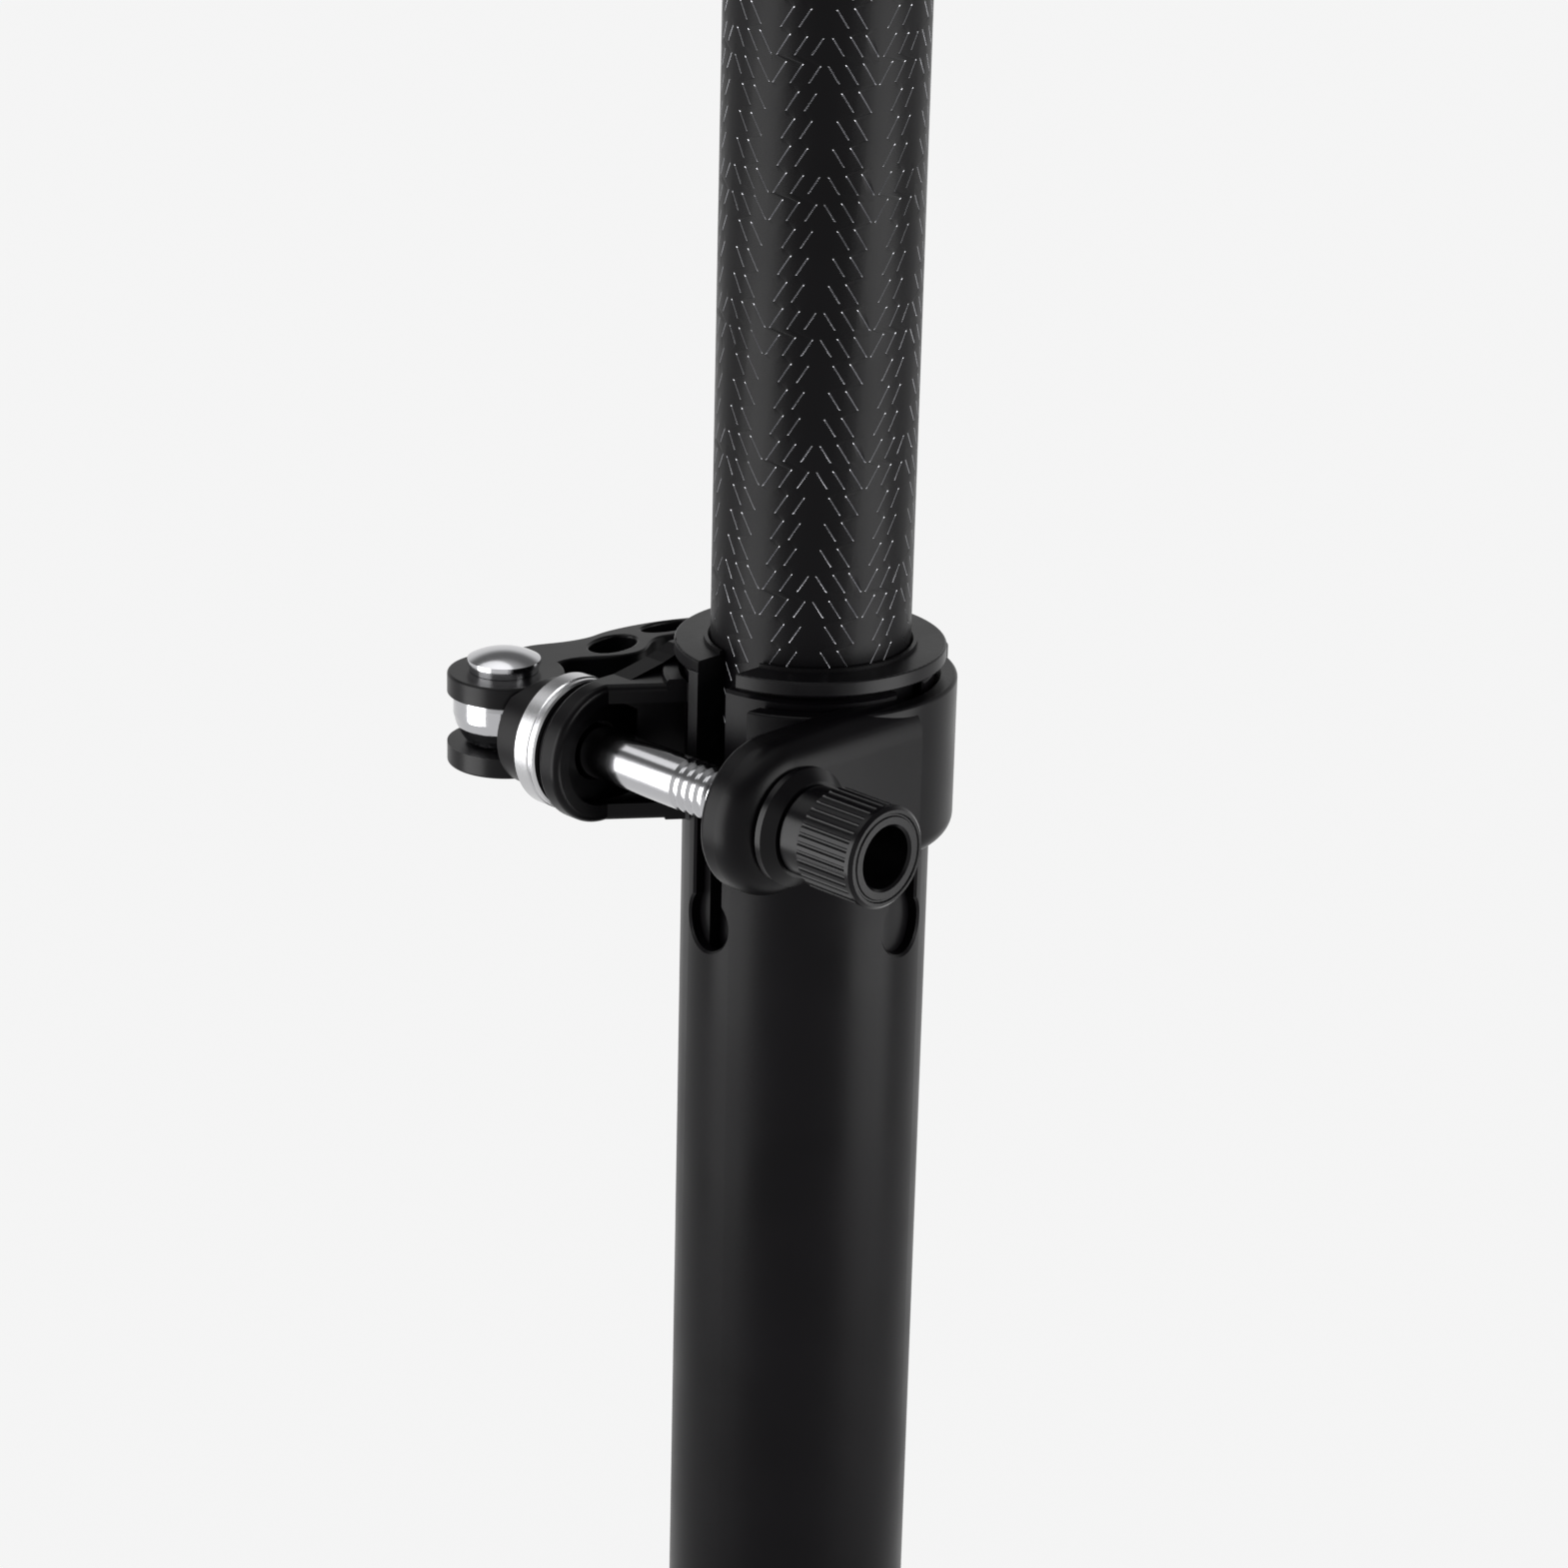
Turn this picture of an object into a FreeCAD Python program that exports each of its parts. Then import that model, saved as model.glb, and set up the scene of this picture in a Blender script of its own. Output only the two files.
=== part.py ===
import FreeCAD, Part
import Sketcher
import math
import os
import re
from FreeCAD import Vector, Rotation, Placement

# A telescopic suspension seatpost with a quick-release collar, in millimetres.
# +Z is up along the post, +X is towards the front of the bicycle.
# The clamp gap faces the rear (-X) and the skewer lies along Y.
# The origin is the centre of the lower tube's bottom end.

SIZES = {
    # lower tube
    "lower_tube_radius": 17.0,
    "lower_tube_wall": 1.55,
    "lower_tube_length": 226.8,
    "lower_tube_edge": 0.4,
    "slot_width": 5.8,
    "slot_depth": 34.4,
    "keyhole_radius": 4.2,
    "slot_edge": 0.35,
    "plug_height": 12.0,
    "plug_recess": 1.0,
    "plug_drain_radius": 3.0,
    "insertion_mark_height": 80.0,
    "insertion_mark_width": 0.6,
    "insertion_mark_depth": 0.25,
    # split sleeve between the lower tube and the post
    "sleeve_length": 58.0,
    "sleeve_play": 0.05,
    "post_play": 0.05,
    "sleeve_wall": 1.75,
    "flange_overhang": 1.47,
    "flange_thick": 2.1,
    "flange_gap": 1.1,
    "flange_edge": 0.3,
    "lip_height": 0.5,
    "lip_width": 0.9,
    "sleeve_gap_left": 3.2,
    "sleeve_gap_right": 3.8,
    "key_thick": 1.7,
    "key_drop": 14.0,
    # clamp collar
    "collar_wall": 3.1,
    "collar_height": 22.4,
    "collar_drop": 1.1,
    "collar_play": 0.05,
    "collar_bottom_round": 2.7,
    "collar_top_round": 0.5,
    "collar_gap": 13.6,
    "rod_clearance": 7.0,
    "rod_drop": 14.8,
    "left_lug_radius": 9.7,
    "left_lug_inner": 14.3,
    "left_lug_thick": 3.3,
    "left_lug_round": 0.95,
    "ear_foot_depth": 1.5,
    "ear_foot_side": 7.9,
    "gusset_rise": 2.4,
    "gusset_reach": 10.3,
    "left_boss_radius": 8.3,
    "left_boss_height": 1.5,
    "dish_radius": 7.2,
    "dish_depth": 2.1,
    "right_lug_radius": 10.7,
    "right_lug_inner": 13.9,
    "right_lug_thick": 7.2,
    "lug_round": 4.4,
    "lug_inner_round": 0.9,
    "lug_hole_play": 0.5,
    "nut_seat_radius": 7.3,
    "nut_seat_depth": 0.8,
    # skewer, washers and lever
    "rod_radius": 3.65,
    "rod_neck_radius": 3.2,
    "rod_thread_start": 1.2,
    "rod_thread_pitch": 1.5,
    "rod_thread_depth": 0.42,
    "rod_thread_turns": 18,
    "steel_washer_radius": 9.3,
    "steel_washer_thick": 3.9,
    "cam_washer_radius": 7.7,
    "cam_washer_thick": 5.3,
    "washer_play": 0.3,
    "pivot_distance": 35.2,
    "barrel_radius": 7.0,
    "barrel_foot_radius": 5.6,
    "cheek_radius": 8.1,
    "cheek_thick": 2.9,
    "fork_gap": 7.3,
    "cheek_gap": 0.15,
    "cheek_lift": 0.2,
    "cam_offset": 0.4,
    "cam_play": 0.35,
    "rivet_radius": 2.5,
    "rivet_play": 0.05,
    "rivet_head_radius": 5.05,
    "rivet_head_height": 1.7,
    "rivet_dome_height": 1.3,
    "lever_arc_radius": 35.6,
    "lever_arc_ahead": 19.8,
    "lever_arc_inward": 32.6,
    "lever_blade_width": 6.4,
    "lever_blade_height": 7.6,
    # knurled nut
    "nut_washer_radius": 6.9,
    "nut_washer_flange": 8.0,
    "nut_washer_foot": 1.0,
    "nut_washer_thick": 3.5,
    "nut_neck_radius": 6.05,
    "nut_neck_length": 3.8,
    "nut_head_radius": 6.85,
    "nut_head_length": 9.7,
    "nut_bore_radius": 4.2,
    "nut_bore_depth": 8.0,
    "nut_thread_play": 0.07,
    "rib_groove_radius": 0.32,
    "rib_count": 36,
    "nut_rim": 1.1,
    # post tube and its inner parts
    "post_wall": 1.9,
    "post_length": 215.0,
    "post_height": 105.0,
    "cap_wall": 2.6,
    "cap_skirt": 6.0,
    "cap_top": 10.0,
    "seal_height": 4.0,
    "bushing_wall": 1.7,
    "stanchion_wall": 2.0,
    "bushing_play": 0.03,
    "upper_bushing_height": 28.0,
    "lower_bushing_height": 22.0,
    "piston_height": 12.0,
    "piston_play": 0.08,
    "piston_spigot": 10.0,
    "seat_thick": 3.0,
    "spring_length": 100.0,
    "spring_clearance": 1.9,
    "spring_wire_radius": 1.2,
    "spring_turns": 9,
    "bumper_clearance": 2.0,
    "bumper_height": 52.0,
    "key_pin_radius": 1.2,
    "key_pin_length": 14.0,
    "key_pin_play": 0.06,
    "travel": 40.0,
    "topout_gap": 0.4,
    # saddle clamp head
    "head_clearance": 1.5,
    "head_radius": 15.0,
    "head_width": 32.0,
    "head_neck_wall": 2.6,
    "rail_spacing": 44.0,
    "rail_radius": 3.5,
    "rail_clamp_length": 36.0,
    "rail_lift": 15.5,
    "rail_split": 0.6,
    "clamp_side_gap": 0.3,
    "clamp_disc_radius": 12.5,
    "clamp_outer_thick": 5.8,
    "clamp_block_below": 6.5,
    "clamp_block_above": 5.6,
    "bolt_radius": 3.0,
    "bolt_play": 0.2,
    "bolt_head_radius": 5.0,
    "bolt_head_height": 6.0,
    "bolt_socket_flat": 5.0,
    "bolt_nut_radius": 5.8,
    "bolt_nut_height": 5.0,
    "bolt_washer_radius": 6.4,
    "bolt_washer_thick": 1.5,
    "bolt_tail": 1.5,
}

# Sizes that follow from the ones above, each as a formula: the pieces nest inside the lower tube.
FOLLOWS = {
    "collar_radius": "(lower_tube_radius + collar_wall)",
    "flange_radius": "(lower_tube_radius + flange_overhang)",
    "rod_offset": "(lower_tube_radius + rod_clearance)",
    "ear_foot": "(lower_tube_radius - ear_foot_depth)",
    "post_radius": "(lower_tube_radius - lower_tube_wall - sleeve_play - sleeve_wall - post_play)",
    "lip_outer_radius": "(post_radius + lip_width)",
    "cap_radius": "(post_radius + cap_wall)",
    "stanchion_radius": "(post_radius - post_wall - bushing_wall)",
    "spring_mean_radius": "(post_radius - post_wall - spring_clearance - spring_wire_radius)",
    "bumper_radius": "(spring_mean_radius - spring_wire_radius - bumper_clearance)",
    "head_neck_radius": "(stanchion_radius + head_neck_wall)",
}

doc = FreeCAD.newDocument("suspension_seatpost")
sheet = doc.addObject("Spreadsheet::Sheet", "sizes")
for row, (name, value) in enumerate(SIZES.items(), start=1):
    sheet.set("A%d" % row, str(value))
    sheet.setAlias("A%d" % row, name)
doc.recompute()

# Heights and places that several pieces share, each as a formula of the sizes.
FLANGE_TOP = "(lower_tube_length + flange_gap + flange_thick)"
TUBE_BORE = "(lower_tube_radius - lower_tube_wall)"
POST_BORE = "(post_radius - post_wall)"
POST_TOP = "(%s + post_height)" % FLANGE_TOP
POST_BOTTOM = "(%s - post_length)" % POST_TOP
ROD_Z = "(%s - rod_drop)" % FLANGE_TOP
LEFT_FACE = "(left_lug_inner + left_lug_thick + left_boss_height)"
RIGHT_FACE = "(right_lug_inner + right_lug_thick)"
COLLAR_TOP = "(lower_tube_length - collar_drop)"
COLLAR_BOTTOM = "(%s - collar_height)" % COLLAR_TOP
CHEEK_MIDDLE = "(%s + cheek_lift)" % ROD_Z
UPPER_CHEEK = "(%s + fork_gap / 2)" % CHEEK_MIDDLE
LOWER_CHEEK = "(%s - fork_gap / 2 - cheek_thick)" % CHEEK_MIDDLE
NUT_SEAT = "(%s - nut_seat_depth)" % RIGHT_FACE
SEAT_BASE = "(%s + 14)" % POST_BOTTOM
SPRING_BASE = "(%s + seat_thick)" % SEAT_BASE
SPRING_TOP = "(%s + spring_length)" % SPRING_BASE
PISTON_BASE = "(%s + seat_thick)" % SPRING_TOP
PISTON_TOP = "(%s + piston_height)" % PISTON_BASE
LOWER_BUSHING = "(%s + topout_gap)" % PISTON_TOP
CAP_TOP = "(%s + cap_top)" % POST_TOP
HEAD_BOTTOM = "(%s + travel + head_clearance)" % CAP_TOP
BOLT_Z = "(%s + head_radius + 1)" % HEAD_BOTTOM
RAIL_Z = "(%s + rail_lift)" % BOLT_Z
STANCHION_TOP = "(%s - bolt_radius - bolt_play - 2.6)" % BOLT_Z
INNER_CLAMP = "(head_width / 2 + clamp_side_gap)"
OUTER_CLAMP = "(rail_spacing / 2 + rail_split / 2)"
CLAMP_END = "(%s + clamp_outer_thick)" % OUTER_CLAMP


def full(formula):
    """The formula with each size's name pointing at its cell in the sheet."""
    def cell(match):
        name = match.group()
        if name in FOLLOWS:
            return full(FOLLOWS[name])
        return "sizes." + name if name in SIZES else name
    return re.sub(r"[a-z_]+", cell, formula)


def number(formula):
    """What a formula of sizes comes to now."""
    return float(sheet.evalExpression(full(formula)))


def place(item, x="0", y="0", z="0", rotation=None):
    """Put an object at a place given by formulas."""
    item.Placement = Placement(Vector(number(x), number(y), number(z)), rotation or Rotation())
    for axis, formula in (("x", x), ("y", y), ("z", z)):
        if formula != "0":
            item.setExpression("Placement.Base." + axis, full(formula))
    return item


def new_sketch(body, role, name):
    """An empty sketch on one of the body's own origin planes."""
    sketch = body.newObject("Sketcher::SketchObject", name)
    plane = [item for item in body.Origin.OriginFeatures if item.Role == role][0]
    sketch.AttachmentSupport = [(plane, "")]
    sketch.MapMode = "FlatFace"
    return sketch


def outline(sketch, points):
    """A closed outline through points whose two coordinates are formulas of the sizes."""
    spots = [Vector(number(x), number(y), 0) for x, y in points]
    count = len(points)
    for i in range(count):
        sketch.addGeometry(Part.LineSegment(spots[i], spots[(i + 1) % count]), False)
    for i in range(count):
        sketch.addConstraint(Sketcher.Constraint("Coincident", i, 2, (i + 1) % count, 1))
    for i, (x, y) in enumerate(points):
        for kind, axis, formula, value in (("DistanceX", -2, x, spots[i].x), ("DistanceY", -1, y, spots[i].y)):
            if formula == "0":
                sketch.addConstraint(Sketcher.Constraint("PointOnObject", i, 1, axis))
            else:
                index = sketch.addConstraint(Sketcher.Constraint(kind, -1, 1, i, 1, value))
                sketch.setExpression("Constraints[%d]" % index, full(formula))


def new_body(label):
    """An empty body with the piece's own name."""
    body = doc.addObject("PartDesign::Body", label)
    body.Label = label
    return body


def turned(label, points):
    """A body turned about its own Z axis from (radius, height) points."""
    body = new_body(label)
    sketch = new_sketch(body, "XZ_Plane", label + "_profile")
    outline(sketch, points)
    solid = body.newObject("PartDesign::Revolution", label + "_turned")
    solid.Profile = sketch
    solid.ReferenceAxis = (sketch, ["V_Axis"])
    solid.Angle = 360
    body.Tip = solid
    doc.recompute()
    return body


def rings(shape, spots):
    """Names of the round edges that lie at the given (radius, height) spots."""
    names = []
    for index, edge in enumerate(shape.Edges, start=1):
        if edge.Curve.TypeId != "Part::GeomCircle":
            continue
        for radius, height in spots:
            level = abs(edge.Curve.Center.z - number(height)) < 1e-4
            if level and abs(edge.Curve.Radius - number(radius)) < 1e-4:
                names.append("Edge%d" % index)
                break
    return names


def rounded(body, label, size, spots, kind="Fillet"):
    """Round or bevel the edges of a turned body at the given spots."""
    base = body.Tip
    names = rings(base.Shape, spots)
    feature = body.newObject("PartDesign::" + kind, label)
    feature.Base = (base, names)
    prop = "Radius" if kind == "Fillet" else "Size"
    setattr(feature, prop, number(size))
    feature.setExpression(prop, full(size))
    body.Tip = feature
    doc.recompute()
    return body


def cylinder(name, radius, height, **where):
    """A plain cylinder tool."""
    item = doc.addObject("Part::Cylinder", name)
    item.setExpression("Radius", full(radius))
    item.setExpression("Height", full(height))
    return place(item, **where)


def box(name, length, width, height, **where):
    """A plain box tool, from its lowest corner."""
    item = doc.addObject("Part::Box", name)
    item.setExpression("Length", full(length))
    item.setExpression("Width", full(width))
    item.setExpression("Height", full(height))
    return place(item, **where)


def joined(name, items):
    """Several solids as one."""
    item = doc.addObject("Part::MultiFuse", name)
    item.Shapes = items
    item.Refine = True
    return item


def cut(name, base, tools):
    """A solid less one or more tools."""
    tool = tools[0] if len(tools) == 1 else joined(name + "_tools", tools)
    item = doc.addObject("Part::Cut", name)
    item.Base = base
    item.Tool = tool
    item.Refine = True
    return item


def tube(label, outer, inner, height):
    """A plain turned tube or ring."""
    return turned(label, [(inner, "0"), (outer, "0"), (outer, height), (inner, height)])


pieces = []


def keep(item, label):
    """Name a finished piece and put it on the list of pieces."""
    item.Label = label
    pieces.append((label, item))
    return item


# Lower tube: three keyhole slots let the collar squeeze its top.
SLOT_ANGLES = (172.0, 278.0, 45.0)
body = new_body("lower_tube_body")
profile = new_sketch(body, "XZ_Plane", "lower_tube_profile")
outline(profile, [
    (TUBE_BORE, "0"),
    ("lower_tube_radius - lower_tube_edge", "0"),
    ("lower_tube_radius", "lower_tube_edge"),
    ("lower_tube_radius", "insertion_mark_height"),
    ("lower_tube_radius - insertion_mark_depth", "insertion_mark_height"),
    ("lower_tube_radius - insertion_mark_depth", "insertion_mark_height + insertion_mark_width"),
    ("lower_tube_radius", "insertion_mark_height + insertion_mark_width"),
    ("lower_tube_radius", "lower_tube_length - lower_tube_edge"),
    ("lower_tube_radius - lower_tube_edge", "lower_tube_length"),
    (TUBE_BORE, "lower_tube_length"),
])
turn = body.newObject("PartDesign::Revolution", "lower_tube_turned")
turn.Profile = profile
turn.ReferenceAxis = (profile, ["V_Axis"])
turn.Angle = 360
body.Tip = turn
doc.recompute()
slots = []
for index, angle in enumerate(SLOT_ANGLES):
    spin = Rotation(Vector(0, 0, 1), angle)
    side = spin.multVec(Vector(0, -number("slot_width") / 2, 0))
    slab = doc.addObject("Part::Box", "slot_%d" % index)
    slab.setExpression("Length", full("lower_tube_radius + 2"))
    slab.setExpression("Width", full("slot_width"))
    slab.setExpression("Height", full("slot_depth + 1"))
    slab.Placement = Placement(side, spin)
    slab.setExpression("Placement.Base.z", full("lower_tube_length - slot_depth"))
    hole = doc.addObject("Part::Cylinder", "keyhole_%d" % index)
    hole.setExpression("Radius", full("keyhole_radius"))
    hole.setExpression("Height", full("lower_tube_radius + 2"))
    hole.Placement = Placement(Vector(0, 0, 0), spin.multiply(Rotation(Vector(0, 1, 0), 90)))
    hole.setExpression("Placement.Base.z", full("lower_tube_length - slot_depth"))
    slots += [slab, hole]
slotted = cut("lower_tube_slotted", body, slots)
doc.recompute()


def slot_rims(shape):
    """Names of the outer edges of the slots, which lie on the tube's outside."""
    names = []
    outer = number("lower_tube_radius")
    floor = number("lower_tube_length - slot_depth - keyhole_radius") - 0.1
    roof = number("lower_tube_length - lower_tube_edge") - 0.01
    for index, edge in enumerate(shape.Edges, start=1):
        spots = [edge.valueAt(edge.FirstParameter + share * (edge.LastParameter - edge.FirstParameter))
                 for share in (0.05, 0.5, 0.95)]
        on_tube = all(abs(math.hypot(spot.x, spot.y) - outer) < 1e-3 for spot in spots)
        if on_tube and all(floor < spot.z < roof for spot in spots):
            names.append(index)
    return names


rim = doc.addObject("Part::Chamfer", "lower_tube_rims")
rim.Base = slotted
bevel = number("slot_edge")
rim.Edges = [(index, bevel, bevel) for index in slot_rims(slotted.Shape)]
keep(rim, "lower_tube")

plug = turned("lower_tube_plug_body", [
    ("plug_drain_radius", "0"),
    (TUBE_BORE + " - 0.8", "0"),
    (TUBE_BORE + " - 0.02", "0.8"),
    (TUBE_BORE + " - 0.02", "plug_height"),
    (TUBE_BORE + " - 2.2", "plug_height"),
    (TUBE_BORE + " - 2.2", "3"),
    ("plug_drain_radius", "3"),
])
keep(place(plug, z="plug_recess"), "lower_tube_plug")

# Split sleeve: a thin lining with a flange on top, open at the rear.
sleeve_bore = "(post_radius + post_play)"
sleeve_body = turned("sleeve_body", [
    (sleeve_bore, "0"),
    (TUBE_BORE + " - sleeve_play", "0"),
    (TUBE_BORE + " - sleeve_play", "sleeve_length"),
    ("flange_radius", "sleeve_length"),
    ("flange_radius", "sleeve_length + flange_thick"),
    ("lip_outer_radius", "sleeve_length + flange_thick"),
    ("lip_outer_radius", "sleeve_length + flange_thick + lip_height"),
    (sleeve_bore + " + 0.3", "sleeve_length + flange_thick + lip_height"),
    (sleeve_bore, "sleeve_length + flange_thick + lip_height - 0.3"),
])
rounded(sleeve_body, "flange_edges", "flange_edge", [
    ("flange_radius", "sleeve_length"),
    ("flange_radius", "sleeve_length + flange_thick"),
])
place(sleeve_body, z=FLANGE_TOP + " - flange_thick - sleeve_length")
sleeve_gap = box(
    "sleeve_gap", "lower_tube_radius", "sleeve_gap_left + sleeve_gap_right",
    "sleeve_length + flange_thick + lip_height + 2",
    x="-(flange_radius + 1)", y="-sleeve_gap_right", z=FLANGE_TOP + " - flange_thick - sleeve_length - 1")
sleeve_open = cut("sleeve_open", sleeve_body, [sleeve_gap])
key_block = box(
    "key_block", "flange_radius - post_radius - post_play - 0.3", "key_thick", "key_drop",
    x="-flange_radius + 0.25", y="sleeve_gap_left", z=FLANGE_TOP + " - flange_thick - key_drop + 0.5")
keep(joined("sleeve_whole", [sleeve_open, key_block]), "shim_sleeve")

# Clamp collar: a ring with two lugs that the skewer pulls together.
ring_body = turned("collar_ring", [
    ("lower_tube_radius + collar_play", "0"),
    ("collar_radius", "0"),
    ("collar_radius", "collar_height"),
    ("lower_tube_radius + collar_play + 0.8", "collar_height"),
    ("lower_tube_radius + collar_play", "collar_height - 0.8"),
])
rounded(ring_body, "collar_foot", "collar_bottom_round", [("collar_radius", "0")])
rounded(ring_body, "collar_brow", "collar_top_round", [("collar_radius", "collar_height")])
place(ring_body, z=COLLAR_BOTTOM)


def lug(name, radius, near, thick, side):
    """A lug plate: a round end about the rod's axis, run inwards to the ring."""
    start = near if side > 0 else "-(%s + %s)" % (near, thick)
    round_end = cylinder(name + "_end", radius, thick,
                         x="-rod_offset", y=start, z=ROD_Z, rotation=Rotation(Vector(1, 0, 0), -90))
    plate = box(name + "_plate", "rod_offset", thick, "2 * " + radius,
                x="-rod_offset", y=start, z=ROD_Z + " - " + radius)
    whole = joined(name + "_raw", [round_end, plate])
    doc.recompute()
    return whole


def lug_edges(shape, level):
    """Numbers of the edges round one flat side of a lug, without the inner end."""
    numbers = []
    for index, edge in enumerate(shape.Edges, start=1):
        ends = [vertex.Point for vertex in edge.Vertexes]
        middle = edge.valueAt((edge.FirstParameter + edge.LastParameter) / 2)
        flat = all(abs(spot.y - level) < 1e-4 for spot in ends + [middle])
        if flat and middle.x < -1e-3:
            numbers.append(index)
    return numbers


def soft_lug(name, base, outer_level, inner_level):
    """The lug with its outer edge well rounded and its inner edge lightly."""
    item = doc.addObject("Part::Fillet", name)
    item.Base = base
    big = number("lug_round")
    small = number("lug_inner_round")
    edges = [(index, big, big) for index in lug_edges(base.Shape, outer_level)]
    edges += [(index, small, small) for index in lug_edges(base.Shape, inner_level)]
    item.Edges = edges
    return item


right_raw = lug("right_lug", "right_lug_radius", "right_lug_inner", "right_lug_thick", -1)
right_lug = soft_lug("right_lug", right_raw, -number(RIGHT_FACE), -number("right_lug_inner"))
left_raw = lug("left_lug", "left_lug_radius", "left_lug_inner", "left_lug_thick", 1)
left_lug = doc.addObject("Part::Fillet", "left_lug")
left_lug.Base = left_raw
near_round = number("left_lug_round")
far_round = number("left_lug_round / 2")
left_edges = lug_edges(left_raw.Shape, number("left_lug_inner"))
back_edges = lug_edges(left_raw.Shape, number("left_lug_inner + left_lug_thick"))
left_lug.Edges = ([(index, near_round, near_round) for index in left_edges]
                  + [(index, far_round, far_round) for index in back_edges])
Y_UP = Rotation(Vector(1, 0, 0), -90)


def plan_prism(name, points, height, **where):
    """An upright prism over an outline given by formulas, before it is turned and placed."""
    prism = new_body(name)
    sketch = new_sketch(prism, "XY_Plane", name + "_plan")
    outline(sketch, points)
    pad = prism.newObject("PartDesign::Pad", name + "_pad")
    pad.Profile = sketch
    pad.Length = number(height)
    pad.setExpression("Length", full(height))
    prism.Tip = pad
    doc.recompute()
    return place(prism, **where)


def slanting_edges(shape):
    """Numbers of the level edges that run aslant between X and Y."""
    numbers = []
    for index, edge in enumerate(shape.Edges, start=1):
        bounds = edge.BoundBox
        if bounds.ZLength < 1e-4 and bounds.XLength > 1 and bounds.YLength > 1:
            numbers.append(index)
    return numbers


# The left lug's inner face turns aslant towards the gap, and its top runs up to the ring.
LUG_BACK = "left_lug_inner + left_lug_thick"
ear_foot_raw = plan_prism("ear_foot_body", [
    ("-rod_offset", "left_lug_inner"),
    ("-ear_foot", "ear_foot_side"),
    ("-ear_foot + 6", "ear_foot_side"),
    ("-ear_foot + 6", LUG_BACK),
    ("-rod_offset", LUG_BACK),
], "2 * left_lug_radius", z=ROD_Z + " - left_lug_radius")
ear_foot = doc.addObject("Part::Fillet", "ear_foot_soft")
ear_foot.Base = ear_foot_raw
ear_foot.Edges = [(index, near_round, near_round) for index in slanting_edges(ear_foot_raw.Shape)]
SIDEWAYS = Rotation(Vector(1, 0, 0), 90)
gusset = plan_prism("gusset_body", [
    ("-gusset_reach - 9.7", "-1"),
    ("-gusset_reach - 9.7", "0"),
    ("-gusset_reach - 3.5", "0.45 * gusset_rise"),
    ("-gusset_reach - 1.6", "0.67 * gusset_rise"),
    ("-gusset_reach + 0.6", "gusset_rise"),
    ("-gusset_reach + 2.6", "gusset_rise"),
    ("-gusset_reach + 2.6", "-1"),
], "left_lug_thick", y=LUG_BACK, z=ROD_Z + " + left_lug_radius", rotation=SIDEWAYS)
ear_trim = plan_prism("ear_trim", [
    ("-rod_offset", "left_lug_inner"),
    ("-ear_foot", "ear_foot_side"),
    ("-ear_foot", "collar_gap / 2 - 1"),
    ("-rod_offset", "collar_gap / 2 - 1"),
], "collar_height + 4", z=COLLAR_BOTTOM + " - 2")
foot_trim = plan_prism("foot_trim", [
    ("-rod_offset", "-3"),
    ("-rod_offset", "0"),
    ("-gusset_reach - 2", "0"),
    ("-gusset_reach + 6", "-3"),
], "left_lug_inner + 8", y="left_lug_inner + 8", z=ROD_Z + " - left_lug_radius", rotation=SIDEWAYS)
dish_slant = plan_prism("dish_slant", [
    ("-rod_offset", "left_lug_inner + dish_depth"),
    ("-ear_foot + 0.6 * dish_depth", "ear_foot_side + 0.8 * dish_depth"),
    ("-ear_foot + 0.6 * dish_depth", "collar_gap / 2 - 1"),
    ("-rod_offset", "collar_gap / 2 - 1"),
], "2 * dish_radius", z=ROD_Z + " - dish_radius")
left_boss = cylinder("left_boss", "left_boss_radius", "left_boss_height + 0.5",
                     x="-rod_offset", y="left_lug_inner + left_lug_thick - 0.5", z=ROD_Z, rotation=Y_UP)
collar_solid = joined("collar_solid", [ring_body, right_lug, left_lug, ear_foot, gusset, left_boss])
collar_tools = [
    cylinder("collar_bore", "lower_tube_radius + collar_play", "collar_height + 20", z=COLLAR_BOTTOM + " - 10"),
    box("collar_gap", "collar_radius", "collar_gap", "collar_height + 4",
        x="-collar_radius - 4", y="-collar_gap / 2", z=COLLAR_BOTTOM + " - 2"),
    cylinder("lug_holes", "rod_radius + lug_hole_play", RIGHT_FACE + " + " + LEFT_FACE + " + 4",
             x="-rod_offset", y="-" + RIGHT_FACE + " - 2", z=ROD_Z, rotation=Y_UP),
    cylinder("nut_seat", "nut_seat_radius", "nut_seat_depth + 1",
             x="-rod_offset", y="-" + RIGHT_FACE + " - 1", z=ROD_Z, rotation=Y_UP),
    cylinder("dish_end", "dish_radius", "dish_depth + 1",
             x="-rod_offset", y="left_lug_inner - 1", z=ROD_Z, rotation=Y_UP),
    ear_trim,
    foot_trim,
    dish_slant,
]
keep(cut("collar_cut", collar_solid, collar_tools), "clamp_collar")

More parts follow.
